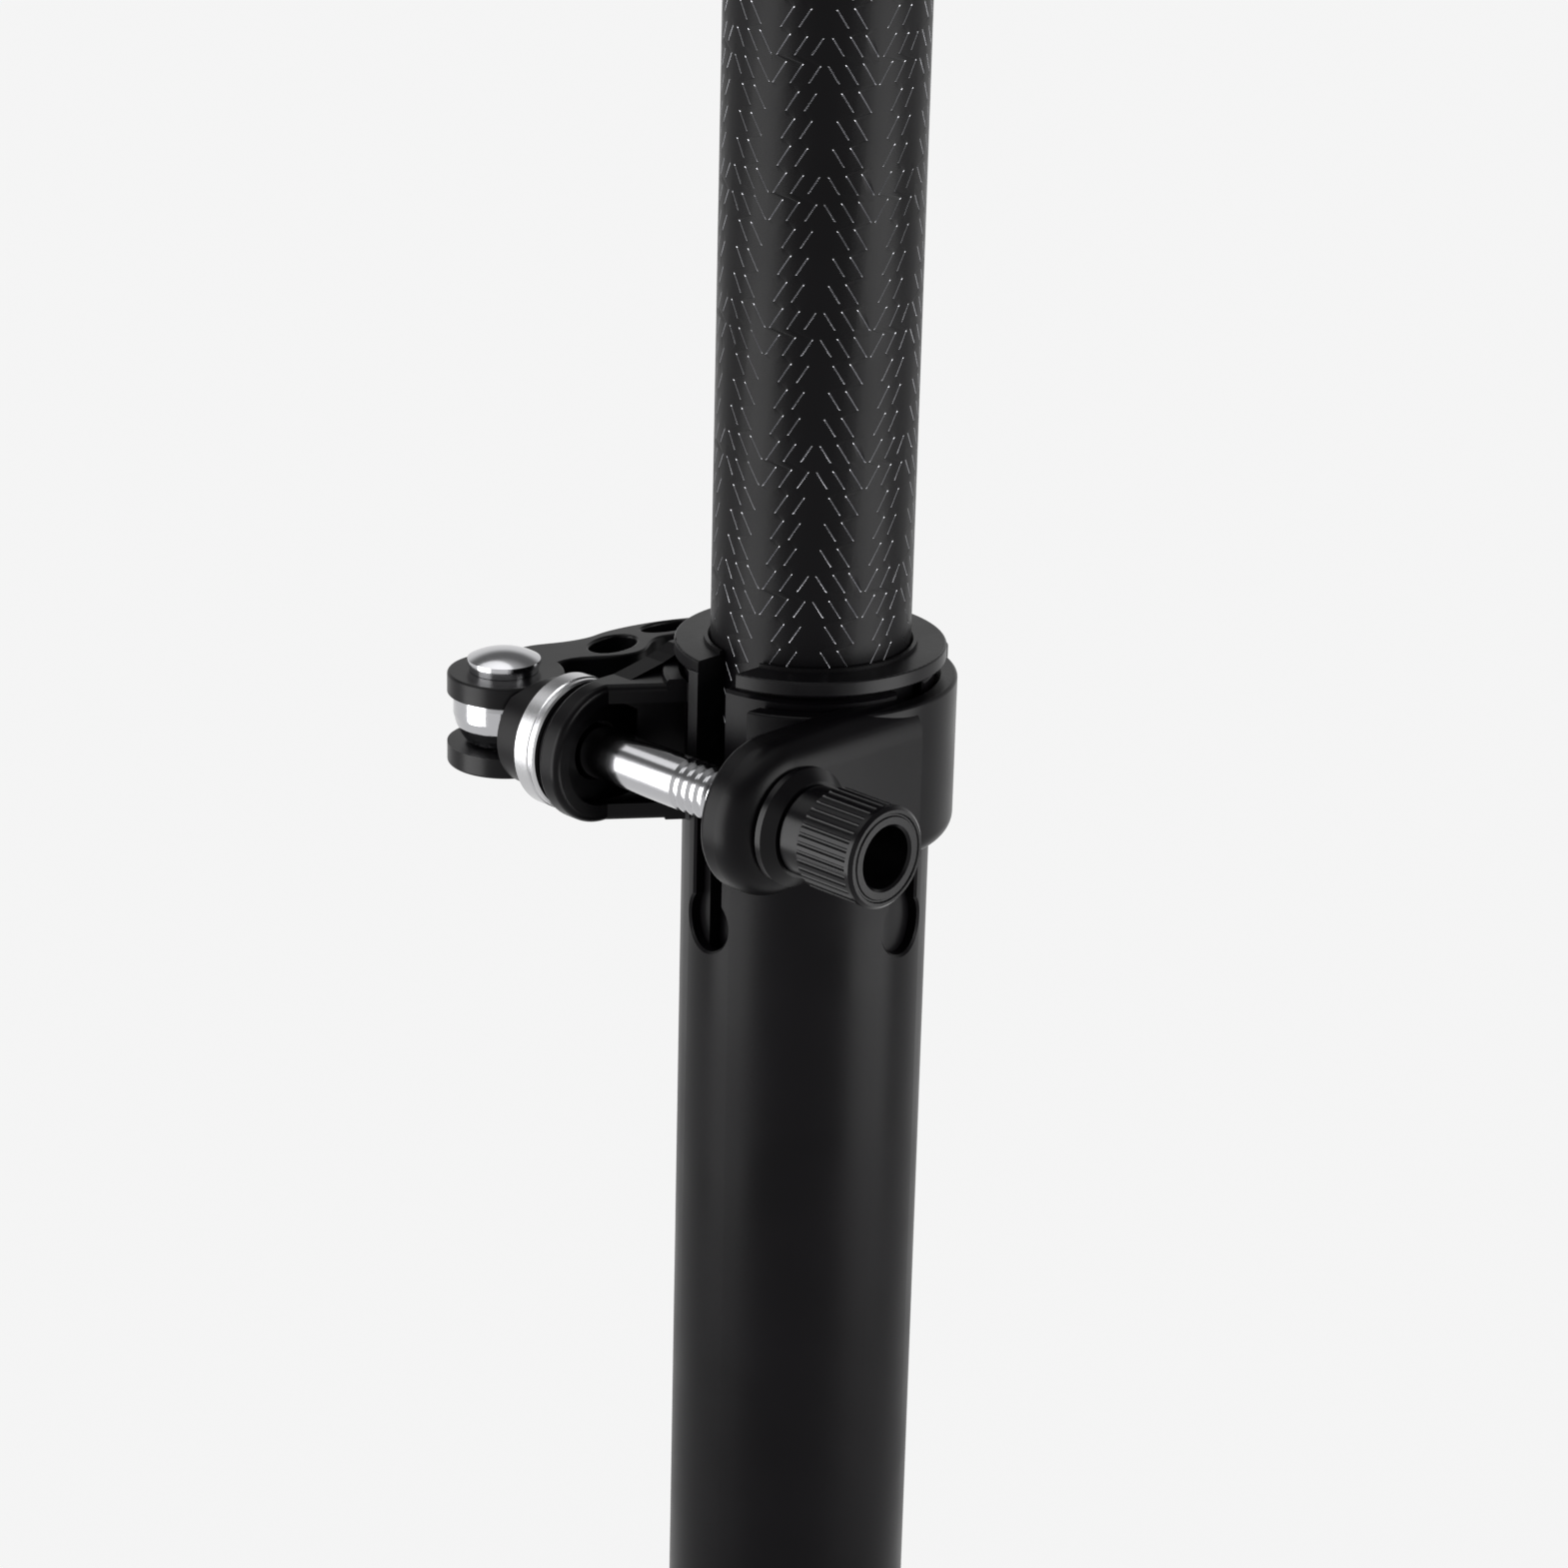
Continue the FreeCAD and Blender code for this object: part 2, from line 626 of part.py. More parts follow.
# Washers between the left lug and the lever's cams.
steel = turned("steel_washer_body", [
    ("rod_radius + washer_play", "0"),
    ("steel_washer_radius - 0.35", "0"),
    ("steel_washer_radius - 0.1", "0.25"),
    ("steel_washer_radius - 0.1", "0.8"),
    ("steel_washer_radius - 0.4", "0.95"),
    ("steel_washer_radius - 0.4", "1.1"),
    ("steel_washer_radius", "1.3"),
    ("steel_washer_radius", "steel_washer_thick - 0.25"),
    ("steel_washer_radius - 0.25", "steel_washer_thick"),
    ("rod_radius + washer_play", "steel_washer_thick"),
])
keep(place(steel, x="-rod_offset", y=LEFT_FACE + " + 0.1", z=ROD_Z, rotation=Y_UP), "steel_washer")
cam_solid = turned("cam_washer_body", [
    ("rod_radius + washer_play", "0"),
    ("cam_washer_radius - 0.3", "0"),
    ("cam_washer_radius", "0.3"),
    ("cam_washer_radius", "cam_washer_thick - 0.3"),
    ("cam_washer_radius - 0.3", "cam_washer_thick"),
    ("rod_radius + washer_play", "cam_washer_thick"),
])
place(cam_solid, x="-rod_offset", y=LEFT_FACE + " + 0.1 + steel_washer_thick", z=ROD_Z, rotation=Y_UP)
cam_hollow = cylinder("cam_hollow", "cheek_radius + cam_play", "4 * cam_washer_radius",
                      x="-rod_offset", y="pivot_distance - cam_offset", z=ROD_Z + " - 2 * cam_washer_radius")
keep(cut("cam_washer_cut", cam_solid, [cam_hollow]), "cam_washer")

# Skewer rod, turned about Y from inside the barrel to inside the nut.
thread_end = "(rod_thread_start + rod_thread_turns * rod_thread_pitch + 0.8)"
rod_tail = "(pivot_distance - barrel_radius + 1.2)"
neck_end = "(" + rod_tail + " - pivot_distance + cam_offset + cheek_radius + 0.3)"
rod_profile = [
    ("0", "0"),
    ("rod_neck_radius", "0"),
    ("rod_neck_radius", neck_end),
    ("rod_radius", neck_end + " + rod_radius - rod_neck_radius"),
    ("rod_radius", rod_tail + " + rod_thread_start"),
]
for index in range(int(number("rod_thread_turns"))):
    foot = rod_tail + " + rod_thread_start + %d * rod_thread_pitch" % index
    rod_profile += [
        ("rod_radius - rod_thread_depth", foot + " + 0.3 * rod_thread_pitch"),
        ("rod_radius - rod_thread_depth", foot + " + 0.45 * rod_thread_pitch"),
        ("rod_radius", foot + " + 0.75 * rod_thread_pitch"),
        ("rod_radius", foot + " + rod_thread_pitch"),
    ]
rod_profile += [
    ("rod_radius - 0.1", rod_tail + " + " + thread_end + " - 0.5"),
    ("rod_radius - 0.6", rod_tail + " + " + thread_end),
    ("0", rod_tail + " + " + thread_end),
]
rod = turned("skewer_rod_body", rod_profile)
place(rod, x="-rod_offset", y=rod_tail, z=ROD_Z, rotation=Rotation(Vector(1, 0, 0), 90))
keep(rod, "skewer_rod")

barrel = turned("barrel_body", [
    ("rivet_radius + rivet_play", "0"),
    ("barrel_foot_radius - 0.6", "0"),
    ("barrel_foot_radius - 0.2", "0.3"),
    ("barrel_foot_radius + 0.45", "1.3"),
    ("barrel_radius - 0.35", "2.6"),
    ("barrel_radius", "4"),
    ("barrel_radius", "fork_gap - 2 * cheek_gap - 1"),
    ("barrel_radius - 0.4", "fork_gap - 2 * cheek_gap"),
    ("rivet_radius + rivet_play", "fork_gap - 2 * cheek_gap"),
])
rounded(barrel, "barrel_belly", "1.2", [("barrel_radius", "4"), ("barrel_radius - 0.35", "2.6")])
place(barrel, x="-rod_offset", y="pivot_distance", z=CHEEK_MIDDLE + " - fork_gap / 2 + cheek_gap")
barrel_bore = cylinder("barrel_bore", "rod_neck_radius + 0.02", "barrel_radius + 3",
                       x="-rod_offset", y=rod_tail + " + 0.02", z=ROD_Z, rotation=Rotation(Vector(1, 0, 0), 90))
keep(cut("barrel_cut", barrel, [barrel_bore]), "skewer_barrel")

rivet_length = "(fork_gap + 2 * cheek_thick)"
shank = cylinder("rivet_shank", "rivet_radius", rivet_length + " + 0.6",
                 x="-rod_offset", y="pivot_distance", z=LOWER_CHEEK + " - 0.5")
tail = cylinder("rivet_tail", "rivet_radius + 1.3", "0.8",
                x="-rod_offset", y="pivot_distance", z=LOWER_CHEEK + " - 0.85")
step = cylinder("rivet_step", "rivet_head_radius - 0.25", "0.8",
                x="-rod_offset", y="pivot_distance", z=UPPER_CHEEK + " + cheek_thick + 0.05")
drum = cylinder("rivet_drum", "rivet_head_radius", "rivet_head_height + rivet_dome_height - 1",
                x="-rod_offset", y="pivot_distance", z=UPPER_CHEEK + " + cheek_thick + 1")
neck = cylinder("rivet_neck", "rivet_head_radius - 0.5", "0.5",
                x="-rod_offset", y="pivot_distance", z=UPPER_CHEEK + " + cheek_thick + 0.7")
ball_radius = "((rivet_head_radius ^ 2 + rivet_dome_height ^ 2) / (2 * rivet_dome_height))"
ball = doc.addObject("Part::Sphere", "rivet_ball")
ball.setExpression("Radius", full(ball_radius))
place(ball, x="-rod_offset", y="pivot_distance",
      z=UPPER_CHEEK + " + cheek_thick + rivet_head_height + rivet_dome_height - " + ball_radius)
dome = doc.addObject("Part::MultiCommon", "rivet_dome")
dome.Shapes = [drum, ball]
keep(joined("rivet_whole", [shank, tail, step, neck, dome]), "pivot_rivet")


def fork(ahead, outward):
    """A point of the lever near its pivot, counted in cheek radii from the pivot."""
    unit = number("cheek_radius")
    return Vector(ahead * unit - number("rod_offset"), outward * unit + number("pivot_distance"), 0)


def blade_spot(depth, angle):
    """A point of the lever's blade: a depth inside its outer arc, at an angle round the arc's middle."""
    turn = math.radians(angle)
    radius = number("lever_arc_radius") - depth
    return Vector(number("lever_arc_ahead - rod_offset") + radius * math.sin(turn),
                  number("pivot_distance - lever_arc_inward") + radius * math.cos(turn), 0)


def lever_outline():
    """The lever blade seen from above: wide and concave at the fork, then an arc round the collar.

    The fork's points are counted in cheek radii from the pivot.
    """
    width = number("lever_blade_width")
    outer = [fork(0.69, 0.68), fork(1.235, 0.655), fork(1.753, 0.444), fork(2.272, 0.333), blade_spot(0, 7.0)]
    inner = [blade_spot(width, 14.0), fork(2.543, -0.815), fork(1.975, -0.765), fork(1.506, -0.481),
             fork(0.914, -0.358)]
    tip_out = blade_spot(0, 88.0)
    tip = blade_spot(width / 2, 92.5)
    tip_in = blade_spot(width, 88.0)
    outer_curve = Part.BSplineCurve()
    outer_curve.interpolate(Points=outer, Tangents=[Vector(4, 0.6, 0), Vector(4, 0, 0), Vector(4, -2, 0),
                                                     Vector(4, 0, 0), Vector(4, -0.49, 0)],
                            TangentFlags=[True, False, False, False, True])
    inner_curve = Part.BSplineCurve()
    inner_curve.interpolate(Points=inner, Tangents=[Vector(-4, 1.0, 0), Vector(-4, 0, 0), Vector(-4, 0, 0),
                                                     Vector(-4, 0, 0), Vector(-4, 0, 0)],
                            TangentFlags=[True, False, False, False, False])
    edges = [
        outer_curve.toShape(),
        Part.Arc(outer[-1], blade_spot(0, 45.0), tip_out).toShape(),
        Part.Arc(tip_out, tip, tip_in).toShape(),
        Part.Arc(tip_in, blade_spot(width, 50.0), inner[0]).toShape(),
        inner_curve.toShape(),
        Part.LineSegment(inner[-1], outer[0]).toShape(),
    ]
    return Part.Wire(edges)


def oval(centre, half_length, half_width, angle, low, high):
    """An upright prism of an oval: the lever's lightening holes."""
    curve = Part.Ellipse(Vector(0, 0, 0), half_length, half_width)
    face = Part.Face(Part.Wire([curve.toShape()]))
    face.rotate(Vector(0, 0, 0), Vector(0, 0, 1), angle)
    face.translate(centre + Vector(0, 0, low))
    return face.extrude(Vector(0, 0, high - low))


def lever_shape():
    """The cam lever: two round cheeks, the web that joins them and the curved blade."""
    x = -number("rod_offset")
    y = number("pivot_distance")
    low = number(LOWER_CHEEK)
    high = number(UPPER_CHEEK + " + cheek_thick")
    thick = number("cheek_thick")
    radius = number("cheek_radius")
    cam = y - number("cam_offset")
    upper = Part.makeCylinder(radius, thick, Vector(x, cam, high - thick))
    lower = Part.makeCylinder(radius, thick, Vector(x, cam, low))
    face = Part.Face(lever_outline())
    plan = face.extrude(Vector(0, 0, high - low))
    plan.translate(Vector(0, 0, low))
    space = number("barrel_radius + 1.6")
    slot = Part.makeCylinder(space, high - low - 2 * thick, Vector(x, y, low + thick))
    reach = number("pivot_distance + lever_arc_radius")
    depth = number("lever_blade_height")
    below = Part.makeBox(reach, 2 * reach, high - low, Vector(x + 1.926 * radius, -reach, low - depth))
    blade = plan.cut(slot).cut(below)
    whole = blade.fuse([upper, lower]).removeSplitter()
    hole = number("rivet_radius + 0.02")
    tools = [Part.makeCylinder(hole, high - low + 2, Vector(x, y, low - 1))]
    tools.append(oval(fork(2.321, -0.235), 0.543 * radius, 0.333 * radius, 12, low - 1, high + 1))
    width = number("lever_blade_width")
    tools.append(oval(blade_spot(0.434 * width, 18.1), 0.66 * width, 0.297 * width, -12, low - 1, high + 1))
    whole = whole.cut(tools)
    edges = []
    for edge in whole.Edges:
        middle = edge.valueAt((edge.FirstParameter + edge.LastParameter) / 2)
        box_size = edge.BoundBox.ZLength
        if box_size < 1e-4 and (abs(middle.z - high) < 1e-4 or abs(middle.z - low) < 1e-4):
            if math.hypot(middle.x - x, middle.y - y) > hole + 0.5:
                edges.append(edge)
    return whole.makeFillet(0.4, edges)


lever = doc.addObject("Part::Feature", "cam_lever_shape")
lever.Shape = lever_shape()
keep(lever, "cam_lever")

# Nut washer and knurled nut on the threaded end of the rod.
nut_bore = "(rod_radius + nut_thread_play)"
nut_washer = turned("nut_washer_body", [
    (nut_bore + " + 0.2", "0"),
    ("nut_washer_radius", "0"),
    ("nut_washer_radius", "nut_washer_foot"),
    ("nut_washer_flange - 0.2", "nut_washer_foot"),
    ("nut_washer_flange", "nut_washer_foot + 0.2"),
    ("nut_washer_flange", "nut_washer_foot + 1.1"),
    ("nut_head_radius - 0.2", "nut_washer_thick - 0.15"),
    ("nut_head_radius - 0.35", "nut_washer_thick"),
    (nut_bore + " + 0.2", "nut_washer_thick"),
])
OUTWARD = Rotation(Vector(1, 0, 0), 90)
keep(place(nut_washer, x="-rod_offset", y="-" + NUT_SEAT + " - 0.05", z=ROD_Z, rotation=OUTWARD), "nut_washer")
nut_length = "(nut_neck_length + nut_head_length)"
nut = turned("knurled_nut_body", [
    (nut_bore, "0"),
    ("nut_neck_radius - 0.25", "0"),
    ("nut_neck_radius", "0.25"),
    ("nut_neck_radius", "nut_neck_length"),
    ("nut_head_radius - 0.2", "nut_neck_length"),
    ("nut_head_radius", "nut_neck_length + 0.2"),
    ("nut_head_radius", nut_length + " - 0.45"),
    ("nut_head_radius - 0.45", nut_length),
    ("nut_head_radius - 0.85", nut_length),
    ("nut_head_radius - 1", nut_length + " - 0.2"),
    ("nut_head_radius - 1.2", nut_length + " - 0.2"),
    ("nut_head_radius - 1.35", nut_length),
    ("nut_bore_radius + 0.35", nut_length),
    ("nut_bore_radius", nut_length + " - 0.35"),
    ("nut_bore_radius", nut_length + " - nut_bore_depth"),
    (nut_bore, nut_length + " - nut_bore_depth - 0.5"),
])
groove_sketch = new_sketch(nut, "XY_Plane", "rib_groove_sketch")
groove_sketch.addGeometry(Part.Circle(Vector(number("nut_head_radius"), 0, 0), Vector(0, 0, 1),
                                      number("rib_groove_radius")), False)
groove_sketch.addConstraint(Sketcher.Constraint("PointOnObject", 0, 3, -1))
index = groove_sketch.addConstraint(Sketcher.Constraint("DistanceX", -1, 1, 0, 3, number("nut_head_radius")))
groove_sketch.setExpression("Constraints[%d]" % index, full("nut_head_radius"))
index = groove_sketch.addConstraint(Sketcher.Constraint("Radius", 0, number("rib_groove_radius")))
groove_sketch.setExpression("Constraints[%d]" % index, full("rib_groove_radius"))
groove_sketch.setExpression("AttachmentOffset.Base.z", full("nut_neck_length - 0.5"))
groove = nut.newObject("PartDesign::Pocket", "rib_groove")
groove.Profile = groove_sketch
groove.Reversed = True
groove.Length = number("nut_head_length - nut_rim + 0.5")
groove.setExpression("Length", full("nut_head_length - nut_rim + 0.5"))
nut.Tip = groove
doc.recompute()
ribs = nut.newObject("PartDesign::PolarPattern", "ribs")
ribs.Originals = [groove]
ribs.Axis = (groove_sketch, ["N_Axis"])
ribs.Angle = 360
ribs.Occurrences = int(number("rib_count"))
ribs.setExpression("Occurrences", full("rib_count"))
nut.Tip = ribs
keep(place(nut, x="-rod_offset", y="-" + NUT_SEAT + " - nut_washer_thick - 0.1", z=ROD_Z, rotation=OUTWARD),
     "knurled_nut")

# Post tube and what it holds.
keep(place(turned("post_tube_body", [
    (POST_BORE, "0"),
    ("post_radius - 0.5", "0"),
    ("post_radius", "0.5"),
    ("post_radius", "post_length"),
    (POST_BORE, "post_length"),
]), z=POST_BOTTOM), "post_tube")
cap = turned("cap_body", [
    ("post_radius + 0.02", "0"),
    ("cap_radius - 0.5", "0"),
    ("cap_radius", "0.5"),
    ("cap_radius", "cap_skirt + cap_top - 3.5"),
    ("cap_radius - 2.2", "cap_skirt + cap_top"),
    ("stanchion_radius + 0.6", "cap_skirt + cap_top"),
    ("stanchion_radius + 0.6", "cap_skirt + cap_top - 1"),
    ("stanchion_radius + 2.4", "cap_skirt + cap_top - 1"),
    ("stanchion_radius + 2.4", "cap_skirt + 0.1"),
    ("post_radius + 0.02", "cap_skirt + 0.1"),
])
keep(place(cap, z=POST_TOP + " - cap_skirt"), "post_cap_nut")
seal = turned("seal_body", [
    ("stanchion_radius + 0.05", "0"),
    ("stanchion_radius + 2.35", "0"),
    ("stanchion_radius + 2.35", "seal_height"),
    ("stanchion_radius + 1", "seal_height"),
    ("stanchion_radius + 0.05", "seal_height - 1"),
])
keep(place(seal, z=CAP_TOP + " - 1.1 - seal_height"), "wiper_seal")
upper_bushing = tube("upper_bushing_body", POST_BORE + " - 0.02", "stanchion_radius + bushing_play",
                     "upper_bushing_height")
keep(place(upper_bushing, z=POST_TOP + " - upper_bushing_height - 0.5"), "upper_bushing")
lower_bushing = tube("lower_bushing_body", POST_BORE + " - 0.02", "stanchion_radius + bushing_play",
                     "lower_bushing_height")
place(lower_bushing, z=LOWER_BUSHING)


def key_column(name, side, radius, low, length):
    """An upright round column on the line of the key pins."""
    return cylinder(name, radius, length, y="%d * (stanchion_radius + 0.1)" % side, z=low)


pin_hole = "key_pin_radius + key_pin_play"
bushing_ways = [key_column("bushing_way_%d" % index, side, pin_hole, LOWER_BUSHING + " - 1",
                           "lower_bushing_height + 2") for index, side in enumerate((1, -1))]
keep(cut("lower_bushing_cut", lower_bushing, bushing_ways), "lower_bushing")
for side, label in ((1, "key_pin_left"), (-1, "key_pin_right")):
    keep(key_column(label, side, "key_pin_radius", LOWER_BUSHING + " + 2", "key_pin_length"), label)
retainer = turned("retainer_body", [
    ("3", "0"),
    (POST_BORE + " - 0.02", "0"),
    (POST_BORE + " - 0.02", SEAT_BASE + " - " + POST_BOTTOM + " - 1"),
    (POST_BORE + " - 3", SEAT_BASE + " - " + POST_BOTTOM + " - 1"),
    (POST_BORE + " - 3", "6"),
    ("3", "6"),
])
keep(place(retainer, z=POST_BOTTOM + " + 1"), "retainer_plug")
lower_seat = turned("lower_seat_body", [
    ("0", "0"), (POST_BORE + " - 0.2", "0"), (POST_BORE + " - 0.2", "seat_thick - 0.05"), ("0", "seat_thick - 0.05"),
])
keep(place(lower_seat, z=SEAT_BASE + " + 0.02"), "lower_spring_seat")
keep(cylinder("bumper", "bumper_radius", "bumper_height", z=SPRING_BASE), "elastomer_bumper")


def biarc(start, start_way, end, end_way):
    """Two arcs that join two points and keep both directions."""
    chord = end - start
    ways = start_way + end_way
    spread = 2 * (1 - start_way.dot(end_way))
    reach = chord.dot(ways)
    if spread < 1e-9:
        step = chord.dot(chord) / (4 * chord.dot(end_way))
    else:
        step = (-reach + math.sqrt(reach * reach + spread * chord.dot(chord))) / spread
    first = start + start_way * step
    last = end - end_way * step
    joint = (first + last) * 0.5
    arcs = []
    for low, corner, high in ((start, first, joint), (joint, last, end)):
        middle = (low + high) * 0.5
        half = (high - low).Length / 2
        bend = math.acos(min(1.0, half / (corner - low).Length))
        rise = half * math.tan(bend / 2)
        arcs.append(Part.Arc(low, middle + (corner - middle).normalize() * rise, high).toShape())
    return arcs


def spring_shape():
    """One unbroken wire: closer end turns, an even pitch between, swept along quarter-turn biarcs."""
    mean = number("spring_mean_radius")
    wire = number("spring_wire_radius")
    turns = number("spring_turns")
    base = number(SPRING_BASE) + wire + 0.05
    rise = number("spring_length") - 2 * wire - 0.1
    steps = int(round(turns * 4))

    def level(share):
        """Share of the height at a share of the turns, slow at both ends."""
        return share - 0.55 * math.sin(2 * math.pi * share) / (2 * math.pi)

    def spot(step):
        turn = step * math.pi / 2
        return Vector(mean * math.cos(turn), mean * math.sin(turn), base + rise * level(step / steps))

    def way(step):
        turn = step * math.pi / 2
        share = step / steps
        climb = rise * (1 - 0.55 * math.cos(2 * math.pi * share)) / (steps * math.pi / 2)
        return Vector(-mean * math.sin(turn), mean * math.cos(turn), climb).normalize()

    edges = []
    for step in range(steps):
        edges += biarc(spot(step), way(step), spot(step + 1), way(step + 1))
    path = Part.Wire(edges)
    circle = Part.Wire([Part.Circle(spot(0), way(0), wire).toShape()])
    gap = min(spot(step + 4).z - spot(step).z for step in range(steps - 3)) - 2 * wire
    print("coil spring: %g turns, least gap to itself %.2f mm" % (turns, gap))
    return path.makePipeShell([circle], True, False)


spring = doc.addObject("Part::Feature", "spring_shape")
spring.Shape = spring_shape()
keep(spring, "coil_spring")

# Stanchion, the sliding inner leg, with the piston under it.
stanchion = tube("stanchion_body", "stanchion_radius", "stanchion_radius - stanchion_wall",
                 STANCHION_TOP + " - " + PISTON_TOP)
place(stanchion, z=PISTON_TOP)
stanchion_ways = [key_column("stanchion_way_%d" % index, side, pin_hole, PISTON_TOP + " - 1",
                             "key_pin_length + travel + 6") for index, side in enumerate((1, -1))]
keep(cut("stanchion_cut", stanchion, stanchion_ways), "stanchion")
piston = turned("piston_body", [
    ("0", "0"),
    (POST_BORE + " - piston_play", "0"),
    (POST_BORE + " - piston_play", "piston_height - 0.1"),
    ("stanchion_radius - stanchion_wall - 0.02", "piston_height - 0.1"),
    ("stanchion_radius - stanchion_wall - 0.02", "piston_height + piston_spigot"),
    ("0", "piston_height + piston_spigot"),
])
keep(place(piston, z=PISTON_BASE), "guide_piston")
upper_seat = turned("upper_seat_body", [
    ("0", "0"), (POST_BORE + " - 0.4", "0"), (POST_BORE + " - 0.4", "seat_thick - 0.02"), ("0", "seat_thick - 0.02"),
])
keep(place(upper_seat, z=SPRING_TOP), "upper_spring_seat")

# Head: a cross barrel on the stanchion, with the saddle rail clamps on its sides.
cross = cylinder("head_cross", "head_radius", "head_width", y="-head_width / 2", z=BOLT_Z, rotation=Y_UP)
neck_sleeve = cylinder("head_neck", "head_neck_radius", BOLT_Z + " - " + HEAD_BOTTOM, z=HEAD_BOTTOM)
head = joined("head_solid", [cross, neck_sleeve])
doc.recompute()
head_soft = doc.addObject("Part::Fillet", "head_soft")
head_soft.Base = head
soft = 1.0
head_soft.Edges = [(number_, soft, soft) for number_, edge in enumerate(head.Shape.Edges, start=1)
                   if edge.Curve.TypeId == "Part::GeomCircle"
                   and abs(abs(edge.Curve.Center.y) - number("head_width / 2")) < 1e-4]
head_tools = [
    cylinder("head_socket", "stanchion_radius + 0.02", STANCHION_TOP + " - " + HEAD_BOTTOM + " + 1.02",
             z=HEAD_BOTTOM + " - 1"),
    cylinder("head_bolt_hole", "bolt_radius + bolt_play", "head_width + 2", y="-head_width / 2 - 1", z=BOLT_Z,
             rotation=Y_UP),
]
keep(cut("head_cut", head_soft, head_tools), "head_barrel")


def rail_clamp(label, side, near, thick):
    """One half of a rail clamp: a disc on the bolt with a block over it that grips half the rail."""
    start = near if side > 0 else "-(%s + %s)" % (near, thick)
    disc = cylinder(label + "_disc", "clamp_disc_radius", thick, y=start, z=BOLT_Z, rotation=Y_UP)
    block = box(label + "_block", "rail_clamp_length", thick, "clamp_block_below + clamp_block_above",
                x="-rail_clamp_length / 2", y=start, z=RAIL_Z + " - clamp_block_below")
    solid = joined(label + "_solid", [disc, block])
    doc.recompute()
    ends = doc.addObject("Part::Fillet", label + "_soft")
    ends.Base = solid
    half = number("rail_clamp_length / 2")
    bend = 2.5
    ends.Edges = [(index, bend, bend) for index, edge in enumerate(solid.Shape.Edges, start=1)
                  if edge.BoundBox.XLength < 1e-4 and edge.BoundBox.ZLength < 1e-4
                  and abs(abs(edge.BoundBox.Center.x) - half) < 1e-4]
    tools = [
        cylinder(label + "_hole", "bolt_radius + bolt_play", thick + " + 2", y=start + " - 1", z=BOLT_Z,
                 rotation=Y_UP),
        cylinder(label + "_groove", "rail_radius", "rail_clamp_length + 2", x="-rail_clamp_length / 2 - 1",
                 y="%d * rail_spacing / 2" % side, z=RAIL_Z, rotation=Rotation(Vector(0, 1, 0), 90)),
    ]
    return keep(cut(label + "_cut", ends, tools), label)


inner_thick = "(rail_spacing / 2 - rail_split / 2 - %s)" % INNER_CLAMP
for side, name in ((1, "left"), (-1, "right")):
    rail_clamp("inner_clamp_" + name, side, INNER_CLAMP, inner_thick)
    rail_clamp("outer_clamp_" + name, side, OUTER_CLAMP, "clamp_outer_thick")

washer_turns = ((1, "left", Rotation(Vector(1, 0, 0), -90)), (-1, "right", Rotation(Vector(1, 0, 0), 90)))
for side, name, rotation in washer_turns:
    ring = tube("clamp_washer_%s_body" % name, "bolt_washer_radius", "bolt_radius + bolt_play",
                "bolt_washer_thick")
    keep(place(ring, y="%d * (%s + 0.02)" % (side, CLAMP_END), z=BOLT_Z, rotation=rotation),
         "clamp_washer_" + name)

bolt_end = "(%s + bolt_washer_thick + 0.04)" % CLAMP_END
bolt = turned("clamp_bolt_body", [
    ("0", "0"),
    ("bolt_head_radius - 0.5", "0"),
    ("bolt_head_radius", "0.5"),
    ("bolt_head_radius", "bolt_head_height"),
    ("bolt_radius", "bolt_head_height"),
    ("bolt_radius", "bolt_head_height + 2 * %s + bolt_nut_height + bolt_tail" % bolt_end),
    ("0", "bolt_head_height + 2 * %s + bolt_nut_height + bolt_tail" % bolt_end),
])
socket = new_sketch(bolt, "XY_Plane", "bolt_socket_sketch")
corner = "(bolt_socket_flat / sqrt(3))"
outline(socket, [
    (corner, "0"),
    (corner + " / 2", "bolt_socket_flat / 2"),
    ("-" + corner + " / 2", "bolt_socket_flat / 2"),
    ("-" + corner, "0"),
    ("-" + corner + " / 2", "-bolt_socket_flat / 2"),
    (corner + " / 2", "-bolt_socket_flat / 2"),
])
socket_cut = bolt.newObject("PartDesign::Pocket", "bolt_socket")
socket_cut.Profile = socket
socket_cut.Length = 3.5
socket_cut.Reversed = True
bolt.Tip = socket_cut
keep(place(bolt, y="-%s - bolt_head_height" % bolt_end, z=BOLT_Z, rotation=Y_UP), "clamp_bolt")

nut_solid = doc.addObject("Part::Prism", "clamp_nut_hex")
nut_solid.Polygon = 6
nut_solid.setExpression("Circumradius", full("bolt_nut_radius"))
nut_solid.setExpression("Height", full("bolt_nut_height"))
place(nut_solid, y=bolt_end, z=BOLT_Z, rotation=Y_UP)
nut_hole = cylinder("clamp_nut_hole", "bolt_radius + 0.02", "bolt_nut_height + 2", y=bolt_end + " - 1", z=BOLT_Z,
                    rotation=Y_UP)
keep(cut("clamp_nut_cut", nut_solid, [nut_hole]), "clamp_nut")

doc.recompute()
for item in doc.Objects:
    if "Invalid" in item.State or "Error" in item.State:
        raise RuntimeError("failed object: %s %s" % (item.Label, item.State))
os.makedirs("parts", exist_ok=True)
for label, item in pieces:
    shape = item.Shape
    if shape.isNull() or not shape.isValid() or len(shape.Solids) != 1:
        raise RuntimeError("bad shape: %s with %d solids" % (label, len(shape.Solids)))
    shape.exportStep("parts/%s.step" % label)
print("pieces: %d" % len(pieces))
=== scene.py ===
import math

import bpy
import numpy as np
from mathutils import Matrix, Vector

